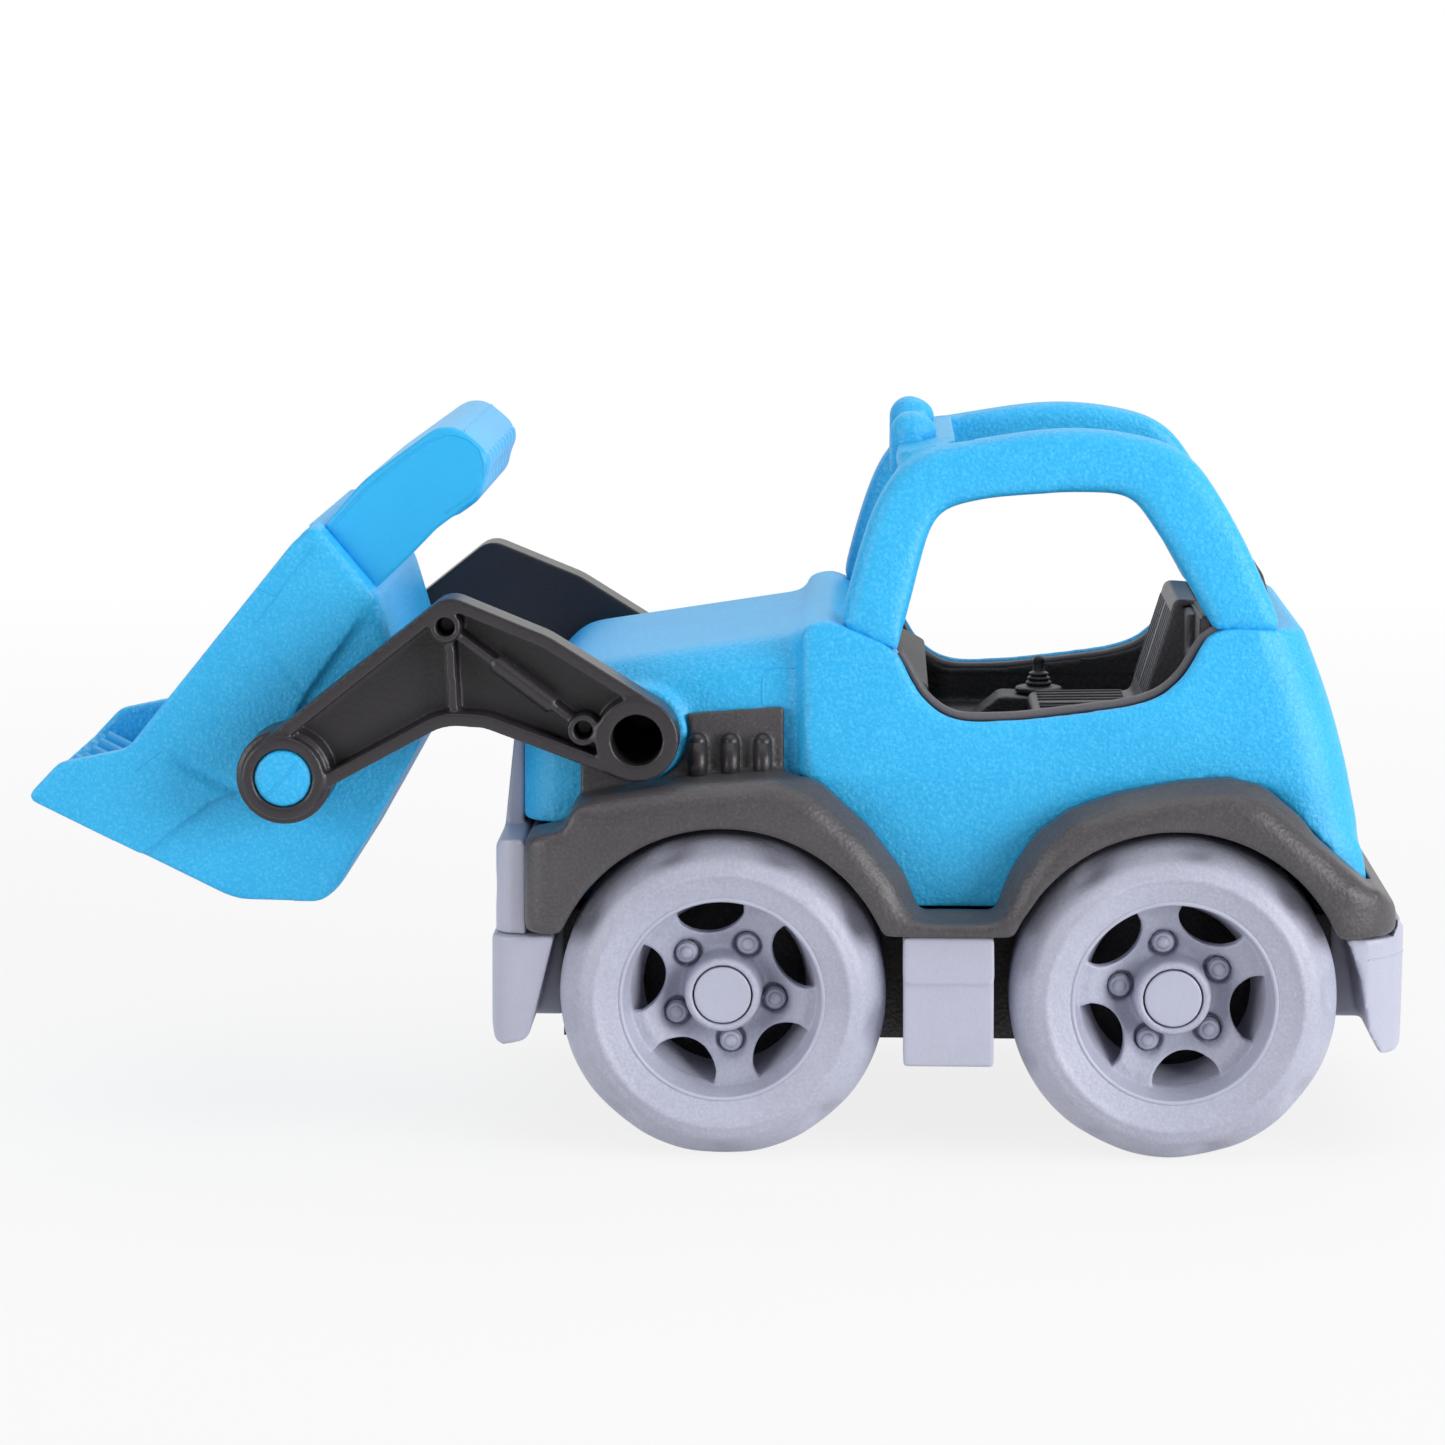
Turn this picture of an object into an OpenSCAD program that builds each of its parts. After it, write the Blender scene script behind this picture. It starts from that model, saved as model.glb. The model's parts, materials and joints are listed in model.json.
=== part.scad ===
// Toy wheel loader with a lifting bucket, rebuilt from a photograph.
// Millimetres, +Z up, the front towards -X, the driver's left side towards -Y.
// The origin lies on the ground under the middle of the overall length and width.

/* [Stance] */
// distance between the two axles
wheelbase = 90; // [87:0.5:93]
// tyre diameter
wheel_d = 65.4; // [63:0.2:67]
// half width over the tyres
tyre_out = 62; // [61:0.25:64]
// tyre width
wheel_w = 26; // [24:0.5:27]
// height of the chassis floor above the ground
belly_z = 19.5; // [18:0.25:21]

/* [Wheels] */
// radius of the dished opening in the tyre's outer face
dish_r = 20.2; // [19:0.1:21]
// radius of the crest on the tyre's side
crest_r = 25.4; // [24.5:0.1:26]
// radius of the circle of lug bolts
lug_circle = 10.6; // [10:0.1:11.2]
// outer radius of the spoke windows
window_r = 17.3; // [16.5:0.1:18]
// radius of each round cut that makes a spoke window
window_cut = 7.8; // [7:0.1:8.4]
// wall thickness of the barrel behind the spoke windows
barrel_wall = 1.6; // [1.4:0.1:2]
// hub boss radius
hub_r = 7.5; // [7:0.1:8]
// axle pin shank radius
pin_r = 3; // [2.5:0.1:3.4]
// axle pin head radius
pin_head_r = 5.7; // [5.4:0.1:6]

/* [Fenders] */
// overhang of the fender lip outside the tyre
fender_lip = 1; // [0.5:0.25:2]
// gap between a tyre and its wheel arch
arch_gap = 2; // [1.5:0.1:2.6]
// wall thickness of the fender moulding
skirt_wall = 2.4; // [2:0.1:2.8]

/* [Body] */
// half width of the hood
hood_half = 44.4; // [43:0.2:44.8]
// distance of the hood's nose ahead of the middle of the wheelbase
hood_nose = 86; // [85.5:0.1:86.4]
// height of the hood at the arm pivot
hood_top = 98.9; // [97:0.2:100]
// radius of the hood's long shoulders
hood_round = 11.5; // [8:0.5:12]
// slope of the hood, in degrees
hood_slope = 8.8; // [8:0.2:10]
// distance of the cab front ahead of the middle of the wheelbase
cab_front = 30; // [29:0.2:31]
// half width of the cab at its foot
cab_half = 49.5; // [48.5:0.25:50.5]
// inward lean of the cab side from its foot to the window line
cab_lean = 3.5; // [3:0.25:4]
// wall thickness of the body moulding
body_wall = 2.8; // [2.4:0.1:3]

/* [Roof frame] */
// inward lean of the roof arches from the window line to the top
roof_lean = 7.8; // [6.5:0.2:9]
// thickness of a roof arch across the toy
arch_t = 8; // [7:0.2:8.6]
// height of the roof above the ground
roof_z = 144.8; // [143:0.2:147]

/* [Loader arms] */
// distance of the arm pivot ahead of the middle of the wheelbase
pivot_dx = 62.1; // [61:0.1:63]
// height of the arm pivot
pivot_z = 84.3; // [84:0.1:85.5]
// distance from the arm pivot forward to the bucket pivot
arm_dx = 70.6; // [69:0.2:73]
// drop from the arm pivot to the bucket pivot
arm_dz = 8.1; // [7:0.1:9]
// half width over the arms
arm_out = 56.6; // [56:0.2:57.5]
// thickness of an arm across the toy
arm_t = 10; // [9:0.2:10.2]
// width of the raised rim along an arm
arm_rim = 2.6; // [2.2:0.1:3]
// outer radius of the pivot bosses
boss_r = 8.3; // [8:0.1:8.4]
// step behind the front ring of the boss that holds the bucket
boss_step = 1.3; // [1:0.1:1.6]
// radius of the hollow in the arm pivot
hollow_r = 5.1; // [4.6:0.1:5.4]
// journal radius of the arm pivot
journal_r = 7; // [6.8:0.05:7.3]

/* [Bucket] */
// half width of the bucket over its cheeks
bucket_half = 40.5; // [39.5:0.1:41]
// wall thickness of the bucket
bucket_wall = 2.6; // [2.2:0.1:3]
// step of the raised cheek on each side
cheek = 1.2; // [0.8:0.1:1.6]
// trunnion radius of the bucket
trunnion_r = 5.8; // [5.5:0.05:6]
// half width of the handle
handle_half = 35.4; // [33:0.2:36]

/* [Fits] */
// radial running clearance of the pivots and axles
run = 0.05; // [0.02:0.01:0.1]
// gap between pieces that are seated against each other
seat_gap = 0.1; // [0.05:0.01:0.15]
// radial clearance of the screws
screw_gap = 0.05; // [0.02:0.01:0.1]

/* [Hidden] */
$fn = 64;

blue = [0.20, 0.62, 0.88];
charcoal = [0.30, 0.29, 0.29];
dark = [0.22, 0.22, 0.23];
light = [0.72, 0.73, 0.78];
steel = [0.6, 0.6, 0.62];

wheel_r = wheel_d / 2;
axle_x = wheelbase / 2;
axle_z = wheel_r;
wheel_in = tyre_out - wheel_w;
fender_out = tyre_out + fender_lip;
arch_r = wheel_r + arch_gap;
// the fender outline is drawn for an arch of this radius and follows the real one
arch_drawn = 34.7;
arch_k = arch_r / arch_drawn;
skirt_in = cab_half - 3.5;
belt_half = cab_half - cab_lean;
roof_half = belt_half - roof_lean;
// half width of the open cab between the post seats
cab_in = belt_half - 9.2;
peg_y = belt_half - 5.4;
step_in = cab_half + 0.5;
step_out = fender_out - 2.2;
pivot_x = -pivot_dx;
trunnion_x = pivot_x - arm_dx;
trunnion_z = pivot_z - arm_dz;
arm_in = arm_out - arm_t;
tail_x = 91.7;
tip_dx = 54.7;
tip_round = 1.05;
// shift that puts the middle of the overall length over the origin
x_shift = (tip_dx - tip_round - trunnion_x - tail_x) / 2;
pan_half = wheel_in - 2.5;
pan_end = 78.3;
rim_z = 46;

// Outline tools
function xy(p) = [p[0], p[1]];
function unit(v) = v / norm(v);
function turn(u, v) = u[0] * v[1] - u[1] * v[0];
function arc_at(a, b, d, n) =
    let (u = unit(xy(a) - xy(b)), v = unit(xy(d) - xy(b)), half = acos(u * v) / 2,
         t = b[2] / tan(half), c = xy(b) + unit(u + v) * b[2] / sin(half),
         p = xy(b) + u * t - c, q = xy(b) + v * t - c,
         s = atan2(p[1], p[0]), e = atan2(q[1], q[0]), w = (e - s + 540) % 360 - 180)
    [for (k = [0:n]) c + b[2] * [cos(s + w * k / n), sin(s + w * k / n)]];
// corners are [x, y, radius]; a corner with no radius stays sharp
function rounded(c, n = 5) =
    [for (i = [0:len(c) - 1])
        each (c[i][2] > 0
            ? arc_at(c[(i + len(c) - 1) % len(c)], c[i], c[(i + 1) % len(c)], n)
            : [xy(c[i])])];
// the same corners moved inwards by t (the outline runs anticlockwise)
function inset(c, t) =
    [for (i = [0:len(c) - 1])
        let (b = xy(c[i]), u = unit(b - xy(c[(i + len(c) - 1) % len(c)])),
             v = unit(xy(c[(i + 1) % len(c)]) - b), m = [-u[1], u[0]], w = [-v[1], v[0]],
             s = b + t * (m + w) / (1 + m * w),
             r = c[i][2] <= 0 ? 0 : turn(u, v) > 0 ? max(0.3, c[i][2] - t) : c[i][2] + t)
        [s[0], s[1], r]];
function moved(c, dx, dz) = [for (p = c) [p[0] + dx, p[1] + dz, p[2]]];

module place() {
    translate([x_shift, 0, 0]) children();
}
// a side-view outline made solid between two positions across the toy
module across(y0, y1) {
    translate([0, y1, 0]) rotate([90, 0, 0]) linear_extrude(y1 - y0) children();
}
// a front-view outline made solid between two positions along the toy
module along(x0, x1) {
    translate([x0, 0, 0]) rotate([90, 0, 90]) linear_extrude(x1 - x0) children();
}
module both() {
    children();
    mirror([0, 1, 0]) children();
}
// a round bar across the toy
module bar(x, z, r, y0, y1) {
    translate([x, y1, z]) rotate([90, 0, 0]) cylinder(r = r, h = y1 - y0);
}
module box(x0, x1, y0, y1, z0, z1) {
    translate([x0, y0, z0]) cube([x1 - x0, y1 - y0, z1 - z0]);
}

// Shared outlines, seen from the left side
fx = -axle_x;
rx = axle_x;
// top line of the fender moulding, front to rear, closed along its foot
function by_axle(x, dx, dz, r) = [x + dx * arch_k, axle_z + dz * arch_k, r];
fender_top = [by_axle(rx, 27, 33.3, 0), by_axle(rx, 16.4, 42.1, 8), by_axle(rx, 10, 43.5, 10),
    by_axle(rx, 1.5, 42.9, 0), by_axle(rx, -11.5, 40.3, 12), by_axle(rx, -20.5, 37.1, 10),
    by_axle(rx, -27, 32.3, 10), by_axle(rx, -31.8, 24.8, 8), [rx - 35 * arch_k, rim_z + 3, 3],
    [fx + 38.4 * arch_k, rim_z + 3, 3], by_axle(fx, 35, 24.5, 8), by_axle(fx, 28.4, 33.2, 12),
    by_axle(fx, 18.6, 42.3, 9), by_axle(fx, 10.4, 44.6, 10), by_axle(fx, -9.2, 42.9, 0),
    by_axle(fx, -24.8, 40.3, 0), by_axle(fx, -29.6, 38.9, 2), by_axle(fx, -31.6, 34.2, 1.5)];
skirt_line = concat([[-84.5, rim_z, 0], [89.5, rim_z, 0], [89.5, 50.5, 3]], fender_top,
    [by_axle(-84.5, 0, 32.6, 2)]);
// cab side: belt, window sill, rear shoulder and tail
cab_line = [[-cab_front, 50, 0], [85, 50, 0], [84, 57, 0], [78.2, 85.5, 20], [71, 105.6, 3],
    [53.2, 106, 2], [50.3, 103.5, 3], [47.4, 97.4, 8], [42.6, 92.4, 9], [35.5, 90.4, 0],
    [13.4, 87.6, 0], [0.5, 87.3, 6], [-5.6, 91.6, 6], [-8.6, 97.6, 0], [-10.8, 101.6, 1],
    [-24.6, 107.2, 4], [-cab_front, 106.2, 2.5]];
hood_line = [[-hood_nose, 67, 0], [-cab_front + 4, 67, 0],
    [-cab_front + 4, hood_top + tan(hood_slope) * (pivot_dx - cab_front + 4), 0],
    [-77.5, hood_top - tan(hood_slope) * (77.5 - pivot_dx), 9], [-hood_nose, 87.5, 5]];
// one roof arch with its window
arch_line = [[-21.9, 104.6, 0], [-10.7, 100.4, 0], [-9.4, 106.4, 0], [-5, 123.9, 0],
    [-2.6, 129.2, 4], [8, 131.6, 10], [23, 132.7, 20], [36.4, 132.5, 4], [44.6, 120.4, 0],
    [52.7, 106, 0], [66.1, 105.7, 0], [58.2, 123.8, 0], [47.4, 141.4, 7], [30, roof_z, 25],
    [20, roof_z, 25], [-8.6, 140, 8], [-14.6, 131.4, 0], [-19.4, 116, 0]];
// arm seen from its own pivot
arm_line = [[-67.7, -13.3, 0], [-38.4, 2.7, 10], [-30.5, 2.3, 10], [-3.2, -7.8, 0],
    [4.6, 7, 0], [-1, 10.4, 4], [-17.5, 20.7, 20], [-37.6, 28.9, 5], [-75.6, -1.5, 0]];
// bucket seen from its own pivot
bucket_line = [[-tip_dx, -7.1, 1.5], [-12.3, -27.9, 14], [7.4, -28.4, 7], [26.2, 5.4, 6],
    [17.6, 34.9, 2.5], [4.5, 50.5, 2.5], [-33.8, 3.1, 5], [-47.9, 0.1, 4]];
handle_line = [[17, 35.9, 0], [24, 42.6, 9], [29, 47.8, 8], [37.6, 54.2, 5], [40.4, 62.8, 5],
    [31.6, 70.2, 6], [14.2, 57.6, 25], [6.5, 48.7, 0]];

// Chassis pan with axle bosses and screw posts
screw_x = [-74, 66];
screw_y = 18;
module chassis() {
    color(dark) place() difference() {
        union() {
            difference() {
                box(-pan_end, pan_end, -pan_half, pan_half, belly_z, 45.8);
                box(-pan_end + 2.5, pan_end - 2.5, -pan_half + 2.5, pan_half - 2.5,
                    belly_z + 2.5, 50);
            }
            both() difference() {
                box(-8, 8, pan_half - 1, step_in - seat_gap, belly_z, 45.6);
                box(-5.6, 5.6, pan_half - 2, step_in - 2.5, belly_z + 2.5, 50);
            }
            for (x = [-axle_x, axle_x])
                both() bar(x, axle_z, 6.5, 18, wheel_in - 0.4);
            for (x = [-axle_x, axle_x])
                box(x - 1.2, x + 1.2, -pan_half + 1, pan_half - 1, belly_z + 1, axle_z - 5);
            for (x = screw_x, y = [-screw_y, screw_y])
                translate([x, y, belly_z]) cylinder(r = 4.2, h = 26.3);
        }
        for (x = [-axle_x, axle_x])
            both() bar(x, axle_z, pin_r + 0.02, 17, wheel_in + 1);
        for (x = screw_x, y = [-screw_y, screw_y]) {
            translate([x, y, belly_z - 1]) cylinder(r = 1.5 + screw_gap, h = 40);
            translate([x, y, belly_z - 1]) cylinder(r = 3, h = 4);
        }
    }
}

// Screws that hold the chassis to the body, one node for all
module chassis_screws() {
    color(steel) place() for (x = screw_x, y = [-screw_y, screw_y]) {
        translate([x, y, belly_z + 1]) difference() {
            cylinder(r = 2.9, h = 2);
            translate([-0.4, -2, -1]) cube([0.8, 4, 1.8]);
            translate([-2, -0.4, -1]) cube([4, 0.8, 1.8]);
        }
        translate([x, y, belly_z + 2.9]) cylinder(r = 1.5, h = 36);
    }
}

// Fender moulding: both sides, engine side panels and the band round the tail
module skirt_solid(line, y0, y1, grow) {
    across(y0, y1) difference() {
        polygon(rounded(line));
        for (x = [-axle_x, axle_x])
            translate([x, axle_z]) circle(r = arch_r + grow, $fn = 96);
    }
}
module fender_skirt() {
    pocket = moved(skirt_line, 0, -skirt_wall - 0.6);
    color(charcoal) place() intersection() {
        translate([0, 0, rim_z]) linear_extrude(60) polygon(rounded(
            [[-84.5, -fender_out, 5], [89.5, -fender_out, 13], [89.5, fender_out, 13],
             [-84.5, fender_out, 5]], 8));
        union() {
            both() difference() {
                skirt_solid(skirt_line, -fender_out, -skirt_in, 0);
                intersection() {
                    skirt_solid(pocket, -fender_out + skirt_wall + 1.2, -skirt_in + 1,
                        skirt_wall);
                    box(-82, 86.5, -80, 0, 30, 90);
                }
            }
            both() difference() {
                across(-skirt_in - 0.1, -hood_half - seat_gap) polygon(rounded(
                    [[-74, 70, 0], [-33, 70, 0], [-33, 89.8, 0.8], [-53.6, 88.2, 2],
                     [-74, 80.5, 2]]));
                bar(pivot_x, pivot_z, boss_r + 1.7, -60, -30);
            }
            both() for (x = [-50.3, -43.9, -37.3])
                hull_rib(x);
            box(84.6, 89.5, -fender_out, fender_out, rim_z, 50.5);
            across(-fender_out, fender_out) polygon(
                [[85.2, 50], [89.5, 50], [89.5, 51.5], [84.6, 56.2], [84.6, 54]]);
            box(-84.5, -81, -fender_out, fender_out, rim_z, 64.8);
        }
    }
}
// one of the three upright ribs on an engine side panel
module hull_rib(x) {
    intersection() {
        across(-skirt_in - 1.4, -skirt_in + 0.5) polygon(rounded(
            [[x - 1.7, 70, 0], [x + 1.7, 70, 0], [x + 1.7, 84, 1.6], [x - 1.7, 84, 1.6]]));
        translate([x, -skirt_in + 0.6, 60]) cylinder(r = 2.2, h = 40);
    }
}

// Blue body: hood, cowl, cab sides and tail in one moulding
module cab_section(t) {
    polygon([[-cab_half + t, 40], [cab_half - t, 40], [cab_half - t, 76],
        [cab_half - 1 - t, 88], [belt_half - t, 106], [belt_half - 6 - t, 140],
        [-belt_half + 6 + t, 140], [-belt_half + t, 106], [-cab_half + 1 + t, 88],
        [-cab_half + t, 76]]);
}
module cab_block(t) {
    intersection() {
        across(-80, 80) polygon(rounded(t > 0 ? inset(cab_line, t) : cab_line));
        along(-60, 100) cab_section(t);
        translate([0, 0, 40]) linear_extrude(100) polygon(rounded(
            [[-cab_front + t, -cab_half + t, 4], [86 - t, -cab_half + t, 14],
             [86 - t, cab_half - t, 14], [-cab_front + t, cab_half - t, 4]], 8));
    }
}
module hood_block(t) {
    h = hood_top - t;
    w = hood_half - t;
    intersection() {
        across(-80, 80) polygon(rounded(t > 0 ? inset(hood_line, t) : hood_line));
        translate([pivot_x, 0, 0]) rotate([0, -hood_slope, 0]) along(-60, 60)
            polygon(rounded([[-w, 20, 0], [w, 20, 0], [w, 84, 6], [w - 0.8, h - 0.6, hood_round],
                [0, h + 0.6, 60], [-w + 0.8, h - 0.6, hood_round], [-w, 84, 6]]));
        translate([0, 0, 40]) linear_extrude(100) polygon(rounded(
            [[-hood_nose + t, -w, 9], [-10, -w, 0], [-10, w, 0], [-hood_nose + t, w, 9]], 6));
    }
}
post_peg = [[-15.6, 102.4], [59.4, 105.4]];
module body_shell() {
    color(blue) place() difference() {
        union() {
            difference() {
                union() {
                    cab_block(0);
                    hood_block(0);
                }
                cab_block(body_wall);
                hood_block(body_wall);
                box(-hood_nose + body_wall + 3, -10, -hood_half + body_wall,
                    hood_half - body_wall, 40, 80);
                box(-cab_front + body_wall, 81, -cab_half + body_wall, cab_half - body_wall,
                    40, 62);
                // open cab, from the cowl back to the tail deck
                box(-27, 50.6, -cab_in, cab_in, 60, 103);
                box(-20.5, 50.6, -cab_in, cab_in, 60, 130);
                intersection() {
                    along(-10.8, 50.6) cab_section(body_wall);
                    box(-20, 60, -60, 60, 60, 130);
                }
            }
            // seats for the feet of the roof posts
            both() intersection() {
                cab_block(0);
                union() {
                    box(-27.2, -9.9, -cab_half, -cab_in, 96, 108);
                    box(51.6, 69, -cab_half, -cab_in + 1.8, 99, 108);
                }
            }
            // bearing bosses of the arm pivot
            both() bar(pivot_x, pivot_z, boss_r + 1.3, -arm_in + 0.3, -34);
            // posts that take the chassis screws
            for (y = [-screw_y, screw_y]) {
                translate([screw_x[0], y, 46]) cylinder(r = 3.6, h = 48.4);
                translate([screw_x[1], y, 46]) cylinder(r = 3.6, h = 58);
            }
        }
        both() bar(pivot_x, pivot_z, journal_r + run, -60, -20);
        for (x = screw_x, y = [-screw_y, screw_y])
            translate([x, y, 40]) cylinder(r = 1.5 + screw_gap, h = 22);
        for (p = post_peg)
            both() translate([p[0], -peg_y, p[1] - 8]) cylinder(r = 2.5 + screw_gap, h = 12);
        // the body sits on the fender moulding
        both() across(-60, -skirt_in + 0.6) polygon(rounded(moved(skirt_line, 0, seat_gap)));
        box(84.5, 95, -60, 60, 40, 56.3);
        box(-90, -80.9, -60, 60, 40, 65.4);
        // wheel wells
        both() for (x = [-axle_x, axle_x])
            bar(x, axle_z, arch_r, -60, -wheel_in + 2);
    }
}

// Roof frame: two arches tied by the front light bar
module roof_frame() {
    color(blue) place() difference() {
        union() {
            intersection() {
                across(-60, 60) difference() {
                    polygon(rounded(arch_line));
                    polygon([[-60, 60], [120, 60], [120, 99], [-60, 99]]);
                }
                both() along(-60, 100) polygon(rounded([[-belt_half - 0.2, 100, 0],
                    [-belt_half - 0.2 + arch_t, 100, 0], [-roof_half + arch_t, roof_z + 1, 2],
                    [-roof_half, roof_z + 1, 3]]));
            }
            // light bar across the front of the roof
            across(-roof_half + 4, roof_half - 4) polygon(rounded([[-11.4, 136, 2],
                [-2.4, 135, 2], [-0.4, 143.6, 2], [-9.6, 144.6, 3]]));
            // two drop-shaped lamps on the bar
            both() translate([-8.7, -21, 143.6]) {
                sphere(r = 3.6);
                rotate([0, 98, 0]) cylinder(r1 = 3.58, r2 = 1, h = 7.5);
            }
            for (p = post_peg)
                both() translate([p[0], -peg_y, p[1] - 7]) cylinder(r = 2.5, h = 9);
        }
        // feet follow the belt of the body
        both() difference() {
            across(-60, 0) polygon(rounded(moved(cab_line, 0, seat_gap)));
            for (p = post_peg)
                translate([p[0], -peg_y, 60]) cylinder(r = 2.5, h = 60);
        }
    }
}

// Cab interior: tub with dash, lever console and rear bulkhead
tub_floor = 76;
module tub_block(t) {
    intersection() {
        across(-60, 60) polygon([[-26.8 + t, tub_floor + t], [50.2 - t, tub_floor + t],
            [50.2 - t, 130], [-26.8 + t, 130]]);
        along(-60, 100) cab_section(body_wall + seat_gap + t);
    }
}
module interior_tub() {
    color(dark) place() difference() {
        union() {
            difference() {
                tub_block(0);
                difference() {
                    tub_block(2);
                    // dash, with a hooded top
                    across(-cab_in + 0.3, cab_in - 0.3) polygon(rounded([[-30, 60, 0],
                        [-6, 60, 0], [-4, 92.8, 1], [-9.5, 95.8, 1.5], [-24, 98.6, 0],
                        [-30, 98.6, 0]]));
                    // lever console beside the seat
                    across(19, 32) polygon(rounded([[6, 60, 0], [34, 60, 0], [34, 82, 2],
                        [12, 83, 2], [6, 78, 2]]));
                }
                // rim follows the window sill, a little below it
                difference() {
                    box(-40, 80, -60, 60, 60, 140);
                    across(-61, 61) polygon(rounded(moved(cab_line, 0, -0.7)));
                    box(-28, -4, -cab_in + 0.3, cab_in - 0.3, 60, 112);
                    box(40, 80, -cab_in + 0.2, cab_in - 0.2, 60, 140);
                }
                box(40.6, 60, -60, 60, 100, 140);
                both() box(-30, -9.8, -60, -cab_in + 0.1, 60, 140);
                box(-30, -19, -60, 60, 102.9, 140);
                both() box(51.4, 60, -60, -30, 90, 140);
            }
            // rear bulkhead between the roof posts, rounded at its top corners
            intersection() {
                across(-30, 30) polygon(rounded([[48.3, 92, 0], [50.2, 92, 0], [50.2, 106.3, 0],
                    [66, 106.3, 1], [63.8, 114.6, 3], [60.6, 119.4, 3], [56, 119.4, 3],
                    [52.6, 106.8, 0], [48.3, 106.8, 0]]));
                along(0, 100) polygon(rounded([[-28, 80, 0], [28, 80, 0], [28, 119.4, 9],
                    [-28, 119.4, 9]]));
            }
        }
        // hollow behind the dash and inside the bulkhead, open below
        box(-24.6, -8.8, -34, 34, 70, 91);
        box(53.6, 61, -24, 24, 100, 115);
        // hole that takes the foot of the lever
        translate([20.4, 25, 70]) cylinder(r = 1.5 + run, h = 20);
        // sockets for the two feet of the seat
        for (y = [-9, 9])
            translate([28, y, tub_floor - 1]) cylinder(r = 2.5 + run, h = 10);
    }
}

// Seat with a leaning back
module seat() {
    z0 = tub_floor + 2 + seat_gap;
    color(dark) place() difference() {
        union() {
            across(-17, 17) polygon(rounded([[18, z0, 1], [41, z0, 1], [43, 84.6, 0],
                [47.8, 101, 1], [47.9, 106.95, 0], [51.4, 106.95, 0], [51.8, 108.3, 0.8],
                [46.6, 108.5, 1.5], [39.4, 84.8, 1.5], [17.4, 84.4, 2]]));
            for (y = [-9, 9])
                translate([28, y, tub_floor - 0.5]) cylinder(r = 2.5, h = 6);
        }
        // flutes in the cushion
        for (y = [-12:4:12])
            translate([19, y, 85]) rotate([0, 90, 0]) cylinder(r = 0.8, h = 17);
    }
}

// Control lever with its bellows
module control_lever() {
    color(dark) place() translate([20.4, 25, 0]) {
        translate([0, 0, 76.6]) cylinder(r = 1.5, h = 8);
        translate([0, 0, 83.1]) cylinder(r = 5, h = 1.2);
        translate([0, 0, 84.2]) cylinder(r = 3.4, h = 0.9);
        translate([0, 0, 85]) cylinder(r1 = 3, r2 = 2.2, h = 1.6);
        translate([0, 0, 86]) cylinder(r = 1.2, h = 3.6);
        translate([0, 0, 89.6]) sphere(r = 1.5);
    }
}

// Light grey trim: grille with headlight blocks, bumpers, steps
module front_grille() {
    color(light) place() difference() {
        union() {
            intersection() {
                across(-54, 54) polygon(rounded([[-90.9, 44.5, 0], [-84.6, 44.5, 0],
                    [-84.6, 63.6, 1], [-90.7, 63.6, 2]]));
                translate([0, 0, 40]) linear_extrude(40) polygon(rounded(
                    [[-90.9, -54, 5], [-84.5, -54, 0], [-84.5, 54, 0], [-90.9, 54, 5]]));
            }
            across(-34, 34) polygon(rounded([[-90.4, 61, 0], [-hood_nose - seat_gap, 61, 0],
                [-hood_nose - seat_gap, 84, 0.5], [-88, 84, 1]]));
        }
        for (z = [67:4:79])
            translate([-89.6 + (z - 61) * 0.1, 0, z]) rotate([90, 0, 0])
                translate([0, 0, -28]) cylinder(r = 1, h = 56);
        both() translate([-92, -44, 54]) rotate([0, 90, 0]) cylinder(r = 6, h = 2);
    }
}
module front_bumper() {
    color(light) place() intersection() {
        union() {
            across(-56, 56) polygon(rounded([[-91.5, 44.4, 1], [-91.6, 26, 10],
                [-90.9, 21.4, 2], [-84, 23.4, 3], [-78.8, 44.4, 0.5]]));
            box(-88, -pan_end - seat_gap, -30, 30, 23, 44.4);
        }
        translate([0, 0, 10]) linear_extrude(60) polygon(rounded(
            [[-92, -56, 7], [-70, -56, 0], [-70, 56, 0], [-92, 56, 7]]));
    }
}
module rear_bumper() {
    color(light) place() intersection() {
        union() {
            across(-56, 56) polygon(rounded([[79.2, rim_z - seat_gap, 0.5], [82.2, 37, 0],
                [84, 26, 0], [86.6, 21.2, 2], [91, 21.4, 2], [tail_x, 38, 0], [tail_x, 49.6, 0.8],
                [89.6, 49.6, 0.5], [89.6, rim_z - seat_gap, 0]]));
            box(pan_end + seat_gap, 88, -30, 30, 24, 44);
        }
        translate([0, 0, 10]) linear_extrude(60) polygon(rounded(
            [[70, -56, 0], [tail_x, -56, 12], [tail_x, 56, 12], [70, 56, 0]]));
    }
}
module side_step() {
    difference() {
        union() {
            across(-step_out + 0.8, -step_in) polygon(rounded([[-8.8, belly_z, 0.6], [9.2, belly_z, 0.6],
                [9, rim_z - 0.2, 1], [-9, rim_z - 0.2, 1]]));
            across(-step_out, -step_in - 2) polygon(rounded([[-9, 36.8, 0.8], [9.2, 36.8, 0.8],
                [9, rim_z - 0.2, 1], [-9, rim_z - 0.2, 1]]));
        }
        box(-6.4, 6.4, -step_out + 3.2, -step_in + 1, belly_z + 2.4, rim_z - 2.6);
    }
}
module side_step_left() {
    color(light) place() side_step();
}
module side_step_right() {
    color(light) place() mirror([0, 1, 0]) side_step();
}

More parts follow.
